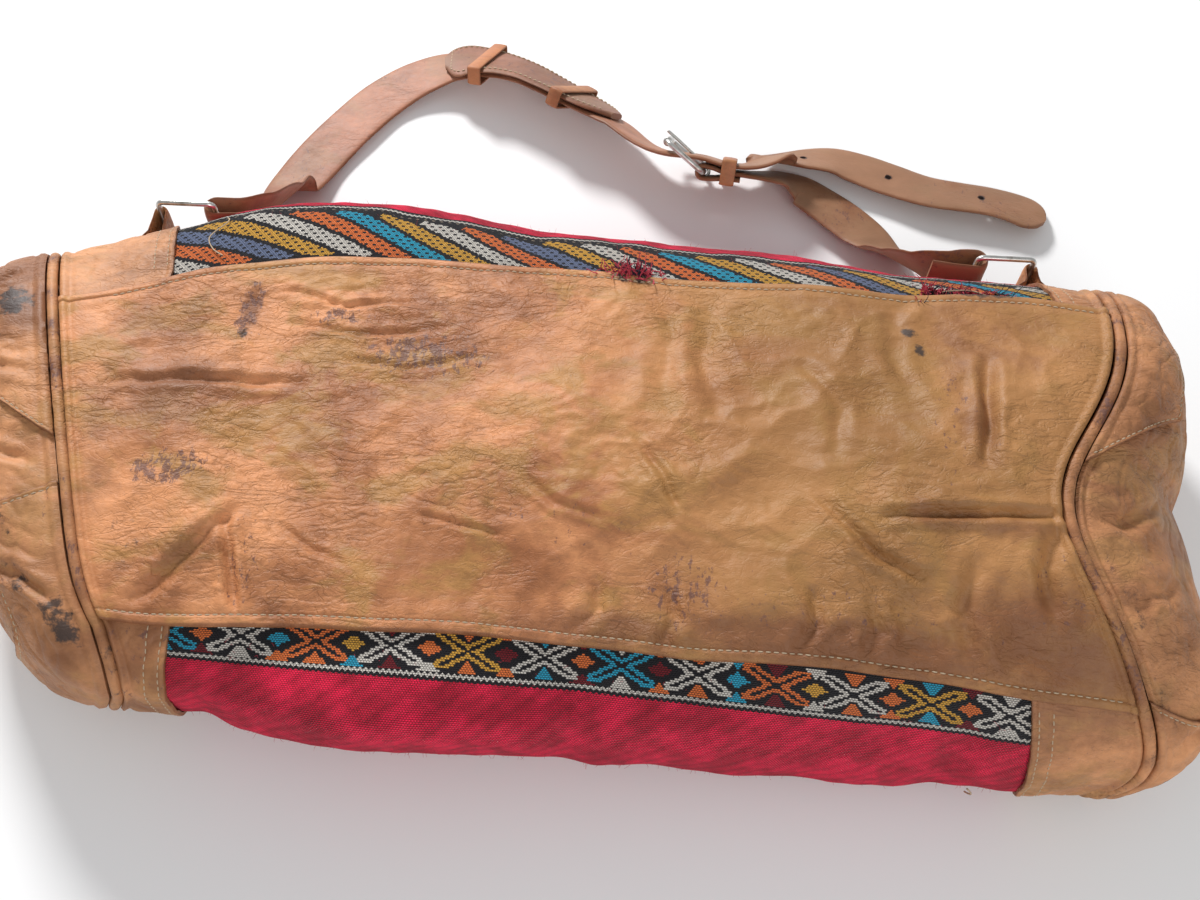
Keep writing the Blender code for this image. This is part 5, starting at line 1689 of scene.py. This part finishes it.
def even_route(centres, across, step):
    """The same route with points at equal distances."""
    distance = np.concatenate([[0], np.cumsum(np.linalg.norm(np.diff(centres, axis=0), axis=1))])
    places = np.linspace(0, distance[-1], max(2, round(distance[-1] / step)))
    spread = [np.interp(places, distance, table[:, a]) for table in (centres, across) for a in range(3)]
    return np.stack(spread[:3], axis=1), np.stack(spread[3:], axis=1)


def strap_section(bulge):
    """A strap's cross-section: places across it from -1 to 1 and heights in half thicknesses."""
    spread = np.sin(np.linspace(-math.pi / 2, math.pi / 2, 15))
    height = np.clip(1 - np.abs(spread) ** bulge, 0, 1) ** 0.5
    t = np.concatenate([spread, spread[-2:0:-1]])
    return t, np.concatenate([height, -height[-2:0:-1]])


def add_strap(name, centres, across, width, thick, paint, node, ends=None, lift=0.0, bulge=9, seed=0):
    """A flat strap with round edges; its faces are a little uneven and its edges darker."""
    across, normal = ribbon_frames(centres, across)
    distance = np.concatenate([[0], np.cumsum(np.linalg.norm(np.diff(centres, axis=0), axis=1))])
    share = ends(distance, distance[-1]) if ends else np.ones(len(centres))
    t, height = strap_section(bulge)
    place = distance[:, None] + 0 * t[None]
    over = t[None] * width / 2 * share[:, None]
    uneven = 0.00022 * waves(place, over, 0.016, 101 + seed) + 0.00010 * waves(place, over, 0.005, 103 + seed)
    through = height[None] * thick / 2 * (0.94 + 0 * place) + uneven * (1 - np.abs(t[None]) ** 4)
    middle = (centres + normal * lift)[:, None]
    points = middle + across[:, None] * over[..., None] + normal[:, None] * through[..., None]
    points[..., 2] = np.maximum(points[..., 2], 0.0002)
    faces = [list(f) for f in grid_faces(len(centres), len(t), closed_columns=True)]
    last = (len(centres) - 1) * len(t)
    faces += [list(range(len(t)))[::-1], list(range(last, last + len(t)))]
    made = add_piece(name, points, faces, paint, replaced=(node,), sharp=50)
    patchy = waves(place, over, 0.05, 105 + seed)
    brown = np.maximum(smooth_step(np.abs(t[None]) + 0 * place, 0.90, 0.985) * 0.8, 0.25 + 0.5 * patchy)
    set_marks(made, brown, 0.3 + 0.5 * patchy, np.clip(waves(place, over, 0.022, 107 + seed) - 0.55, 0, 1))
    return made


def cut_out(target, cutters):
    """Takes the cutters' shapes out of a piece, and leaves a plain mesh."""
    for cutter in cutters:
        change = target.modifiers.new("cut_" + cutter.name, "BOOLEAN")
        change.operation = "DIFFERENCE"
        change.object = cutter
    bpy.context.view_layer.update()
    cut_mesh = bpy.data.meshes.new_from_object(target.evaluated_get(bpy.context.evaluated_depsgraph_get()))
    target.modifiers.clear()
    target.data = cut_mesh
    for cutter in cutters:
        bpy.data.objects.remove(cutter)


def cutter_from(name, loops):
    """A closed prism between two loops of points."""
    count = len(loops[0])
    faces = [list(f) for f in grid_faces(2, count, closed_columns=True)]
    faces += [list(range(count))[::-1], list(range(count, 2 * count))]
    data = bpy.data.meshes.new(name)
    data.from_pydata(np.concatenate(loops).tolist(), [], faces)
    shape = bmesh.new()
    shape.from_mesh(data)
    bmesh.ops.recalc_face_normals(shape, faces=shape.faces)
    shape.to_mesh(data)
    shape.free()
    made = bpy.data.objects.new(name, data)
    bpy.context.scene.collection.objects.link(made)
    return made


def round_rectangle(centre, side, other, half_side, half_other, corner, steps=8):
    """Points round a rectangle with round corners."""
    points = []
    for quarter, (a, b) in enumerate(((1, 1), (-1, 1), (-1, -1), (1, -1))):
        for k in range(steps + 1):
            angle = (quarter + k / steps) * math.pi / 2
            x = a * (half_side - corner) + corner * math.cos(angle)
            y = b * (half_other - corner) + corner * math.sin(angle)
            points.append(centre + x * side + y * other)
    return np.array(points)


# %% Both straps
def add_long_strap():
    centres, across = lean_route(LONG_START + LONG_REST)
    fold = strap_fold_round_ring(-1)
    centres = np.concatenate([fold, centres])
    across = np.concatenate([np.tile(UP, (len(fold), 1)), across])
    centres, across = even_route(centres, across, 0.0022)
    tip = rounded(0, STRAP_TIP)
    strap = add_strap(
        "long_strap_leather",
        centres,
        across,
        STRAP_WIDTH,
        STRAP_THICK,
        strap_leather,
        "strap_long",
        tip,
    )
    heel_hole = at_heel(-0.0060, OVER_HEEL)
    outline = round_rectangle(heel_hole, HEEL_ALONG, HEEL_AXIS, 0.0062, HOLE_RADIUS, HOLE_RADIUS * 0.9, 5)
    depth = STRAP_THICK * 0.75
    cutters = [cutter_from("tongue_slot", [outline + HEEL_OUT * h for h in (-depth, depth)])]
    tail, tail_across = lean_route(LONG_REST)
    start = ROUTE_STEPS * (len(LONG_REST) - TAIL_STATIONS)
    tail, tail_across = tail[start:], ribbon_frames(tail[start:], tail_across[start:])[0]
    distance = np.concatenate([[0], np.cumsum(np.linalg.norm(np.diff(tail, axis=0), axis=1))])
    for number, place in enumerate(HOLE_PLACES):
        i = int(np.argmin(np.abs(distance - place)))
        run = unit(tail[i + 1] - tail[i - 1])
        normal = np.cross(tail_across[i], run)
        angle = np.arange(20) * math.pi / 10
        circle = np.cos(angle)[:, None] * run + np.sin(angle)[:, None] * tail_across[i]
        ring = tail[i] + HOLE_RADIUS * circle
        cutters.append(cutter_from(f"strap_hole_{number + 1}", [ring + normal * h for h in (-0.004, 0.004)]))
    cut_out(strap, cutters)
    return strap


def add_short_strap():
    """Its end is folded round the heel bar, with a slot for the tongue."""
    near = STRAP_THICK / 2 + GAP / 2
    fold = [at_heel(FOLD_FLAP, -near), at_heel(FOLD_FLAP * 0.6, -near)]
    fold.append(at_heel(0.007, -HEEL_FOLD * 0.85))
    for degrees in range(-90, 91, 10):
        angle = math.radians(degrees)
        fold.append(at_heel(-HEEL_FOLD * math.cos(angle), HEEL_FOLD * math.sin(angle)))
    fold += [at_heel(0.007, HEEL_FOLD * 0.85), at_heel(FOLD_FLAP * 0.55, near)]
    fold.append(at_heel(FOLD_FLAP * 0.85, near))
    centres, across = lean_route(SHORT_ROUTE)
    ring_fold = strap_fold_round_ring(1)[::-1]
    all_centres = np.concatenate([fold, centres, ring_fold])
    fold_across = np.tile(HEEL_AXIS, (len(fold), 1))
    all_across = np.concatenate([fold_across, across, np.tile(UP, (len(ring_fold), 1))])
    centres, across = even_route(all_centres, all_across, 0.0018)
    strap = add_strap(
        "short_strap_leather",
        centres,
        across,
        STRAP_WIDTH,
        STRAP_THICK,
        strap_leather,
        "strap_short",
        seed=10,
    )
    slot = 2 * TONGUE_WIRE + 0.0016
    corners = ((-0.012, -0.012), (0.0075, -0.012), (0.0075, 0.012), (-0.012, 0.012))
    outline = np.array([at_heel(a, b, -slot / 2) for a, b in corners])
    cut_out(strap, [cutter_from("fold_slot", [outline, outline + HEEL_AXIS * slot])])
    return strap


print("long strap:", len(add_long_strap().data.vertices), "points")
print("short strap:", len(add_short_strap().data.vertices), "points")


# %% Shoulder pad and keepers
def add_keeper(name, centre, run, across, normal, half_across, half_through):
    """A leather loop round a strap, with a crowned outer face."""
    loops = []
    for place, wall in ((-1, 0.7), (-0.75, 1.0), (0, 1.12), (0.75, 1.0), (1, 0.7), (1, 0.0), (-1, 0.0)):
        extra = KEEPER_THICK * wall
        at = centre + run * place * KEEPER_WIDTH / 2
        loops.append(
            round_rectangle(at, across, normal, half_across + extra, half_through + extra, 0.0008 + extra, 6)
        )
    points = np.array(loops)
    made = add_piece(
        name + "_leather",
        points,
        grid_faces(points.shape[0], points.shape[1], True, True),
        keeper_leather,
        replaced=(name,),
        sharp=60,
    )
    flat = np.zeros(points.shape[:2])
    edge = np.abs(np.array((-1, -0.75, 0, 0.75, 1, 1, -1)))[:, None] + flat
    set_marks(made, smooth_step(edge, 0.7, 1.0) * 0.6, 0.2 + flat, flat)


def add_pad():
    centres, across = lean_route(LONG_START + LONG_REST)
    first = (len(LONG_START) + 4) * ROUTE_STEPS
    pad_range = slice(first, first + 6 * ROUTE_STEPS + 1)
    centres, across = centres[pad_range], across[pad_range]
    keeper_places = []
    for station in (5, 14):
        i = station * ROUTE_STEPS // 3
        sides, normals = ribbon_frames(centres, across)
        run = unit(centres[i + 3] - centres[i - 3])
        keeper_places.append((centres[i], run, sides[i], normals[i]))
    lift = STRAP_THICK / 2 + GAP + PAD_THICK / 2
    fine, fine_across = even_route(centres, across, 0.0016)
    ends = rounded(0.018, 0.030, 0.30)
    pad = add_strap(
        "shoulder_pad_leather",
        fine,
        fine_across,
        PAD_WIDTH,
        PAD_THICK,
        pad_leather,
        "shoulder_pad",
        ends,
        lift,
        4,
        20,
    )
    sides, normals = ribbon_frames(fine, fine_across)
    distance = np.concatenate([[0], np.cumsum(np.linalg.norm(np.diff(fine, axis=0), axis=1))])
    inset = 0.0048
    keep = (distance > inset) & (distance < distance[-1] - inset)
    half = PAD_WIDTH / 2 * ends(distance, distance[-1]) - inset
    top = lift + PAD_THICK / 2 * 0.80
    edges = [fine + sides * (side * half)[:, None] + normals * top for side in (-1, 1)]
    cap = np.linspace(1, -1, 14)[:, None]
    start = np.flatnonzero(keep)[0]
    arc = fine[start] + sides[start] * half[start] * cap + normals[start] * top
    route = np.concatenate([edges[1][keep][::-1], arc[1:-1], edges[0][keep]])
    out = np.concatenate([normals[keep][::-1], np.tile(normals[start], (len(arc) - 2, 1)), normals[keep]])
    add_stitches("pad_stitches", route, out, pitch=0.0042, radius=0.0005)
    low, high = -STRAP_THICK / 2, STRAP_THICK / 2 + GAP + PAD_THICK
    for name, (centre, run, side, normal) in zip(("left_pad_keeper", "right_pad_keeper"), keeper_places):
        middle = centre + normal * (low + high) / 2
        half_through = (high - low) / 2 + KEEPER_EASE
        add_keeper(name, middle, run, side, normal, PAD_WIDTH / 2 + KEEPER_EASE, half_through)


def add_strap_keeper():
    low = -STRAP_THICK - GAP
    high = STRAP_THICK * 2 + STRAP_EASE + 0.0006
    centre = at_heel(0.017, (low + high) / 2)
    half_across = (STRAP_WIDTH + 0.0016) / 2 + KEEPER_EASE
    half_through = (high - low) / 2 + KEEPER_EASE
    add_keeper("strap_keeper", centre, HEEL_ALONG, HEEL_AXIS, HEEL_OUT, half_across, half_through)


add_pad()
add_strap_keeper()

# %% [markdown]
# ## Rings, tabs and buckle
#
# The metal is bent wire. The CAD wires have eight sides, which is enough for collisions; here the
# same paths are swept with round wire, and each piece rides on its own body, so that it moves.


# %% Wire pieces
def add_wire_loop(name, path, axis, radius, body):
    points = tube_points(path, np.tile(axis, (len(path), 1)), radius, 16, True)
    faces = grid_faces(len(path), 16, True, True)
    return add_piece(name + "_wire", points, faces, nickel, body=body, replaced=(name,))


def add_rings():
    half_height = STRAP_WIDTH / 2 + 0.0015 + RING_WIRE
    across = np.array((1.0, 0, 0))
    for name, side in (("left_ring", -1), ("right_ring", 1)):
        tab_bar, strap_bar = ring_bars(side)
        path = round_rectangle((tab_bar + strap_bar) / 2, across, UP, RING_LENGTH / 2, half_height, RING_CORNER)
        add_wire_loop(name, path, np.array((0, 1.0, 0)), RING_WIRE, name + "_body")


def add_ring_tab(name, bar, seed):
    """One strip of leather: both feet lie on the bag, and it loops round the ring's bar."""
    loop = RING_WIRE + 2 * GAP + TAB_THICK / 2
    seat = TAB_THICK / 2 + GAP + STRIP_LEATHER + GAP
    halves = []
    for end in (-1, 1):
        foot = []
        for reach, out in ((TAB_FOOT, 0.0), (0.012, 0.0005)):
            x = bar[0] + end * reach
            foot.append(np.array((x, back_wall_y(x) + seat + out, 0)))
        x = bar[0] + end * (loop + 0.001)
        foot.append(np.array((x, back_wall_y(bar[0]) + seat + 0.008, 0)))
        foot.append(np.array((bar[0] + end * (loop + 0.0002), bar[1] - 0.006, 0)))
        halves.append(foot)
    angle = np.radians(np.arange(180, -1, -15))
    arc = [np.array((bar[0], bar[1], 0)) + loop * np.array((math.cos(a), math.sin(a), 0)) for a in angle]
    centres = np.array(halves[0] + arc + halves[1][::-1]) + UP * bar[2]
    centres, upright = even_route(centres, np.tile(UP, (len(centres), 1)), 0.0014)
    add_strap(
        name + "_leather",
        centres,
        upright,
        TAB_WIDTH,
        TAB_THICK,
        end_leather,
        name,
        seed=seed,
    )


add_rings()
add_ring_tab("left_ring_tab", ring_bars(-1)[0], 30)
add_ring_tab("right_ring_tab", ring_bars(1)[0], 40)


# %% Buckle
def add_buckle():
    """Frame, roller and tongue."""
    reach = -HEEL_ALONG * math.cos(FRAME_LIFT) + HEEL_OUT * math.sin(FRAME_LIFT)
    half_width = STRAP_WIDTH / 2 + FRAME_SIDE_ROOM + FRAME_WIRE
    middle = HEEL + reach * FRAME_LENGTH / 2
    path = round_rectangle(middle, reach, HEEL_AXIS, FRAME_LENGTH / 2, half_width, FRAME_CORNER)
    normal = np.cross(reach, HEEL_AXIS)
    add_wire_loop("buckle_frame", path, normal, FRAME_WIRE, "buckle_frame_body")
    front = HEEL + reach * FRAME_LENGTH
    roller_half = half_width - FRAME_CORNER - 0.0015
    inner = FRAME_WIRE + GAP
    loops = []
    for place, radius in ((-1, 0.6), (-0.96, 1.0), (0.96, 1.0), (1, 0.6), (1, 0.0), (-1, 0.0)):
        angle = np.arange(28) * math.pi / 14
        circle = np.cos(angle)[:, None] * reach + np.sin(angle)[:, None] * normal
        loops.append(front + HEEL_AXIS * place * roller_half + circle * (inner + ROLLER_WALL * radius))
    roller_faces = grid_faces(len(loops), 28, True, True)
    add_piece(
        "buckle_roller_tube",
        np.array(loops),
        roller_faces,
        nickel,
        "buckle_roller_body",
        ("buckle_roller",),
    )
    eye = FRAME_WIRE + 2 * GAP + TONGUE_WIRE
    rest_height = FRAME_WIRE + GAP + ROLLER_WALL + GAP + TONGUE_WIRE
    rise = np.cross(HEEL_AXIS, -reach)
    rise = rise if rise @ HEEL_OUT > 0 else -rise
    tip = front + rise * rest_height + reach * (FRAME_WIRE + ROLLER_WALL + TONGUE_OVERHANG)
    path = []
    for degrees in range(-150, 91, 10):
        angle = math.radians(degrees)
        path.append(HEEL + eye * (math.sin(angle) * rise - math.cos(angle) * reach))
    path.append(HEEL + rise * (eye + 0.0004) + reach * 0.008)
    path += [front + rise * rest_height - reach * 0.004, tip - reach * 0.002, tip - reach * 0.0004, tip]
    radius = np.full(len(path), TONGUE_WIRE)
    radius[-2:] = TONGUE_WIRE * 0.8, TONGUE_WIRE * 0.3
    points = tube_points(path, np.tile(HEEL_AXIS, (len(path), 1)), radius, 12, False)
    faces = [list(f) for f in grid_faces(len(path), 12, closed_columns=True)]
    faces += [list(range(12))[::-1], list(range((len(path) - 1) * 12, len(path) * 12))]
    add_piece(
        "buckle_tongue_wire",
        points,
        faces,
        nickel,
        body="buckle_tongue_body",
        replaced=("buckle_tongue",),
    )


add_buckle()
for name in ("zip_slider", "zip_pull"):
    nodes[name].data.materials.clear()
    nodes[name].data.materials.append(nickel)
print("straps, pad, keepers, rings and buckle")

# %% [markdown]
# ## Underside: top strips and zip
#
# The zip and the leather beside it lie against the floor. They are hidden in the photograph, so
# they are finished plainly: leather turned up at the groove, woven tape and a nylon coil.

# %% Top strips
ZIP_Y = 0.034
ZIP_HALF_LENGTH = 0.236
GROOVE_WIDTH = 0.033
GROOVE_DEPTH = 0.0117
TAPE_WIDTH = 0.019
TAPE_THICK = 0.0008
COIL_RADIUS = 0.0013
COIL_GAP = 0.0012


def s_at_floor(u, y):
    """The distance round the section where its flat underside has this y."""
    at_y, at_z = section(u)
    run = np.concatenate([[0], np.cumsum(np.hypot(np.diff(at_y), np.diff(at_z)))])
    crown = np.interp(0, TURN, run)
    quarter = len(TURN) // 4
    if y <= at_y[-1]:
        place = np.interp(y, at_y[3 * quarter :], run[3 * quarter :])
    else:
        place = np.interp(y, at_y[:quarter], run[:quarter]) + run[-1]
    return (place - crown) * ROUND / run[-1] - float(along(ROLL, u))


def add_top_strip(name, sign):
    wall_y = ZIP_Y - sign * GROOVE_WIDTH / 2
    bend = 0.004
    u = np.linspace(-RUN_END, RUN_END, 220)
    s_flat = np.array([s_at_floor(value, wall_y - sign * bend) for value in u])
    if sign < 0:
        s_flat = s_flat - ROUND
    rows = []
    for share in np.linspace(0, 1, 40):
        s = sign * TOP_START + (s_flat - sign * TOP_START) * share
        from_edge = share * 0.055
        lift = GAP + STRIP_LEATHER - 0.0003 * bump(from_edge, 0.004, 0.0009)
        rows.append(skin(u, s, lift + 0.0002 * waves(x_at_u(u, s), s, 0.012, 111)))
    x = rows[-1][:, 0]
    for a in np.radians((15, 30, 45, 60, 75, 90)):
        y = wall_y - sign * bend + sign * bend * math.sin(a)
        rows.append(np.stack([x, np.full(len(x), y), np.full(len(x), bend - bend * math.cos(a))], axis=1))
    rows.append(np.stack([x, np.full(len(x), wall_y), np.full(len(x), GROOVE_DEPTH)], axis=1))
    inner = rows[-1] - np.array((0, sign * STRIP_LEATHER, 0))
    rows.append(inner)
    points = np.array(rows)
    points[..., 2] = np.maximum(points[..., 2], 0.0002)
    made = add_panel(name, points, end_leather)
    x, y = points[..., 0], points[..., 1]
    set_marks(made, 0.4 + 0.5 * waves(x, y, 0.04, 113), 0.4 + 0.4 * waves(x, y, 0.02, 114), 0 * x)
    s_row = sign * (TOP_START + 0.004) + 0 * u
    keep = np.abs(u) < RUN_END - 0.03
    height = np.full(int(keep.sum()), GAP + STRIP_LEATHER - 0.0001)
    stitch_line(name + "_stitches", u[keep], s_row[keep], height)


add_top_strip("front_top_strip", 1)
add_top_strip("back_top_strip", -1)


# %% Zip tapes and coils
def add_zip():
    tape_low = GROOVE_DEPTH + GAP
    coil_z = tape_low - COIL_RADIUS - GAP
    for name, sign in (("front", -1), ("back", 1)):
        x = np.linspace(-ZIP_HALF_LENGTH, ZIP_HALF_LENGTH, 400)
        y = ZIP_Y + sign * np.linspace(COIL_GAP / 2, COIL_GAP / 2 + TAPE_WIDTH, 30)
        x_grid, y_grid = np.meshgrid(x, y)
        z = np.full(x_grid.shape, tape_low) + 0.0001 * waves(x_grid, y_grid, 0.01, 121)
        x_grid, y_grid, z = [with_rim(grid, 0) for grid in (x_grid, y_grid, z)]
        for edge in (np.s_[0, :], np.s_[-1, :], np.s_[:, 0], np.s_[:, -1]):
            z[edge] = tape_low + TAPE_THICK
        points = np.stack([x_grid, y_grid, z], axis=-1)
        tape = name + "_zip_tape"
        add_panel(tape, points, tape_cloth, "cloth")
        centre_y = ZIP_Y + sign * (COIL_GAP / 2 + COIL_RADIUS)
        turns = int((ZIP_HALF_LENGTH - 0.004) * 2 / 0.0016)
        angle = np.arange(turns * 10) * 2 * math.pi / 10
        wire = 0.00032
        path = np.stack(
            [
                -ZIP_HALF_LENGTH + 0.004 + angle / (2 * math.pi) * 0.0016,
                centre_y + (COIL_RADIUS - wire) * np.cos(angle),
                coil_z + (COIL_RADIUS - wire) * np.sin(angle),
            ],
            axis=1,
        )
        points = tube_points(path, np.tile((1.0, 0, 0), (len(path), 1)), wire, 5, False)
        coil = name + "_zip_coil"
        faces = grid_faces(len(path), 5, closed_columns=True)
        add_piece(coil + "_wire", points, faces, coil_nylon, replaced=(coil,))


def add_zip_end_tab(name, side):
    """A leather tab that closes the groove between the zip's end and the end seam."""
    half = GROOVE_WIDTH / 2 - GAP
    seam = float(seam_x(side, ROUND / 2)) - side * (PIPING_RADIUS + SEAM_GAP)
    x_line = np.linspace(side * (ZIP_HALF_LENGTH - 0.006), seam, 60)
    x, y = np.meshgrid(x_line, ZIP_Y + np.linspace(-half, half, 40))
    z = 0.0003 + 0.0002 * np.abs(waves(x, y, 0.01, 131))
    x, y, z = [with_rim(grid, 0) for grid in (x, y, z)]
    for edge in (np.s_[0, :], np.s_[-1, :], np.s_[:, 0], np.s_[:, -1]):
        z[edge] = STRIP_LEATHER
    points = np.stack([x, y, z], axis=-1)
    made = add_panel(name, points, end_leather)
    set_marks(made, 0.4 + 0 * x, 0.4 + 0 * x, 0 * x)


add_zip()
add_zip_end_tab("left_zip_end_tab", -1)
add_zip_end_tab("right_zip_end_tab", 1)
print("underside")

# %% [markdown]
# ## Frayed yarn, loose thread and fuzz
#
# The back kilim is torn beside the hem in two places. Short bent yarns stand out of the torn
# edge, one long white thread has come loose at the left, and the wool is fuzzy all over.


# %% Yarn
def add_yarns(name, roots, outward, lengths, radius, spread, paint, seed):
    """Short bent yarns as thin tubes; each starts at its root and leans over at random."""
    rng = np.random.default_rng(seed)
    steps, sides = 7, 5
    all_points, all_faces = [], []
    for root, out, length in zip(roots, outward, lengths):
        heading = unit(out + spread * rng.normal(size=3))
        bend = rng.normal(size=3) * 0.9
        share = np.linspace(0, 1, steps)[:, None]
        path = root + length * (heading * share + unit(bend) * 0.45 * share**2)
        path = path + length * 0.05 * rng.normal(size=(steps, 3)) * share
        path[:, 2] = np.maximum(path[:, 2], 0.001)
        thin = radius * np.linspace(1, 0.45, steps)
        side = np.tile(unit(rng.normal(size=3)), (steps, 1))
        offset = len(all_points) * steps * sides
        all_points.append(tube_points(path, side, thin, sides, False).reshape(-1, 3))
        all_faces.append(grid_faces(steps, sides, closed_columns=True) + offset)
    return add_piece(name, np.concatenate(all_points), np.concatenate(all_faces), paint)


def skin_frame(x, s, lift):
    u = u_at_x(x, s)
    place = skin(u, s, lift)
    return place, unit(skin(u, s, lift + 0.01) - place)


def add_tears():
    rng = np.random.default_rng(11)
    count = 230
    x = rng.uniform(TEAR_LEFT + 0.003, TEAR_RIGHT - 0.003, count)
    s = -(torn_edge(x) + rng.uniform(-0.001, 0.002, count))
    root, out = skin_frame(x, s, -0.0006)
    toward_hem = unit(skin_frame(x, s + 0.006, -0.0006)[0] - root)
    lengths = rng.uniform(0.003, 0.009, count)
    add_yarns("tear_red_yarns", root, toward_hem * 0.9 + out * 0.35, lengths, 0.00042, 0.45, red_yarn, 12)
    count = 70
    x = rng.uniform(TEAR_LEFT + 0.004, TEAR_RIGHT - 0.004, count)
    s = -(torn_edge(x) - rng.uniform(0.002, 0.010, count))
    root, out = skin_frame(x, s, -0.0030)
    lengths = rng.uniform(0.005, 0.014, count)
    add_yarns("tear_dark_yarns", root, out * 0.4 + [1.0, 0, 0], lengths, 0.0004, 0.6, dark_yarn, 13)
    count = 150
    x = rng.normal(0.017, 0.0072, count)
    s = -rng.uniform(0.1135, 0.1275, count)
    root, out = skin_frame(x, s, base_lift(x, np.maximum(s, -0.1215), u_at_x(x, s)) * (s > -0.122))
    lengths = rng.uniform(0.004, 0.010, count)
    add_yarns("hem_tuft_yarns", root, out * 0.35, lengths, 0.00045, 0.75, red_yarn, 14)
    count = 46
    x = rng.normal(0.019, 0.0035, count)
    s = -rng.uniform(0.116, 0.125, count)
    root, out = skin_frame(x, s, base_lift(x, np.maximum(s, -0.1215), u_at_x(x, s)) * (s > -0.122) + 0.0006)
    lengths = rng.uniform(0.004, 0.008, count)
    add_yarns("hem_tuft_dark_yarns", root, out * 0.3, lengths, 0.0005, 0.75, dark_yarn, 15)


def add_fuzz(name, sign, count, paint, seed):
    rng = np.random.default_rng(seed)
    x = rng.uniform(-0.21, 0.235, count)
    s = sign * rng.uniform(HEM + 0.012, HEM + 0.15, count)
    root, out = skin_frame(x, s, kilim_lift(x, s, u_at_x(x, s)))
    add_yarns(name, root, out, rng.uniform(0.0012, 0.0032, count), 0.00009, 0.9, paint, seed + 1)


def add_loose_thread(name, stations, radius):
    path = []
    stations = np.array(stations, float)
    for k in np.linspace(0, len(stations) - 1, 60):
        i = min(int(k), len(stations) - 2)
        f = k - i
        before, after = stations[max(i - 1, 0)], stations[min(i + 2, len(stations) - 1)]
        low, high = stations[i], stations[i + 1]
        curve = 2 * low + (high - before) * f + (2 * before - 5 * low + 4 * high - after) * f * f
        path.append((curve + (3 * low - before - 3 * high + after) * f**3) / 2)
    path = np.array(path)
    place, out = skin_frame(path[:, 0], path[:, 1], path[:, 2])
    points = tube_points(place, out, radius, 6, False)
    add_piece(name, points, grid_faces(len(place), 6, closed_columns=True), off_white_thread)


add_tears()
add_fuzz("front_kilim_fuzz", 1, 900, red_yarn, 16)
add_fuzz("back_kilim_fuzz", -1, 400, red_yarn, 18)
add_loose_thread(
    "loose_thread",
    [
        (-0.236, -0.170, 0.001),
        (-0.232, -0.158, 0.004),
        (-0.240, -0.146, 0.0035),
        (-0.236, -0.134, 0.003),
        (-0.228, -0.124, 0.0045),
    ],
    0.0004,
)
add_loose_thread(
    "tear_white_thread",
    [(0.196, -0.133, 0.0015), (0.212, -0.136, 0.003), (0.226, -0.131, 0.002)],
    0.00045,
)
add_loose_thread("lint", [(0.205, 0.199, 0.0012), (0.208, 0.203, 0.003), (0.206, 0.208, 0.0015)], 0.0005)
print("yarn and thread")
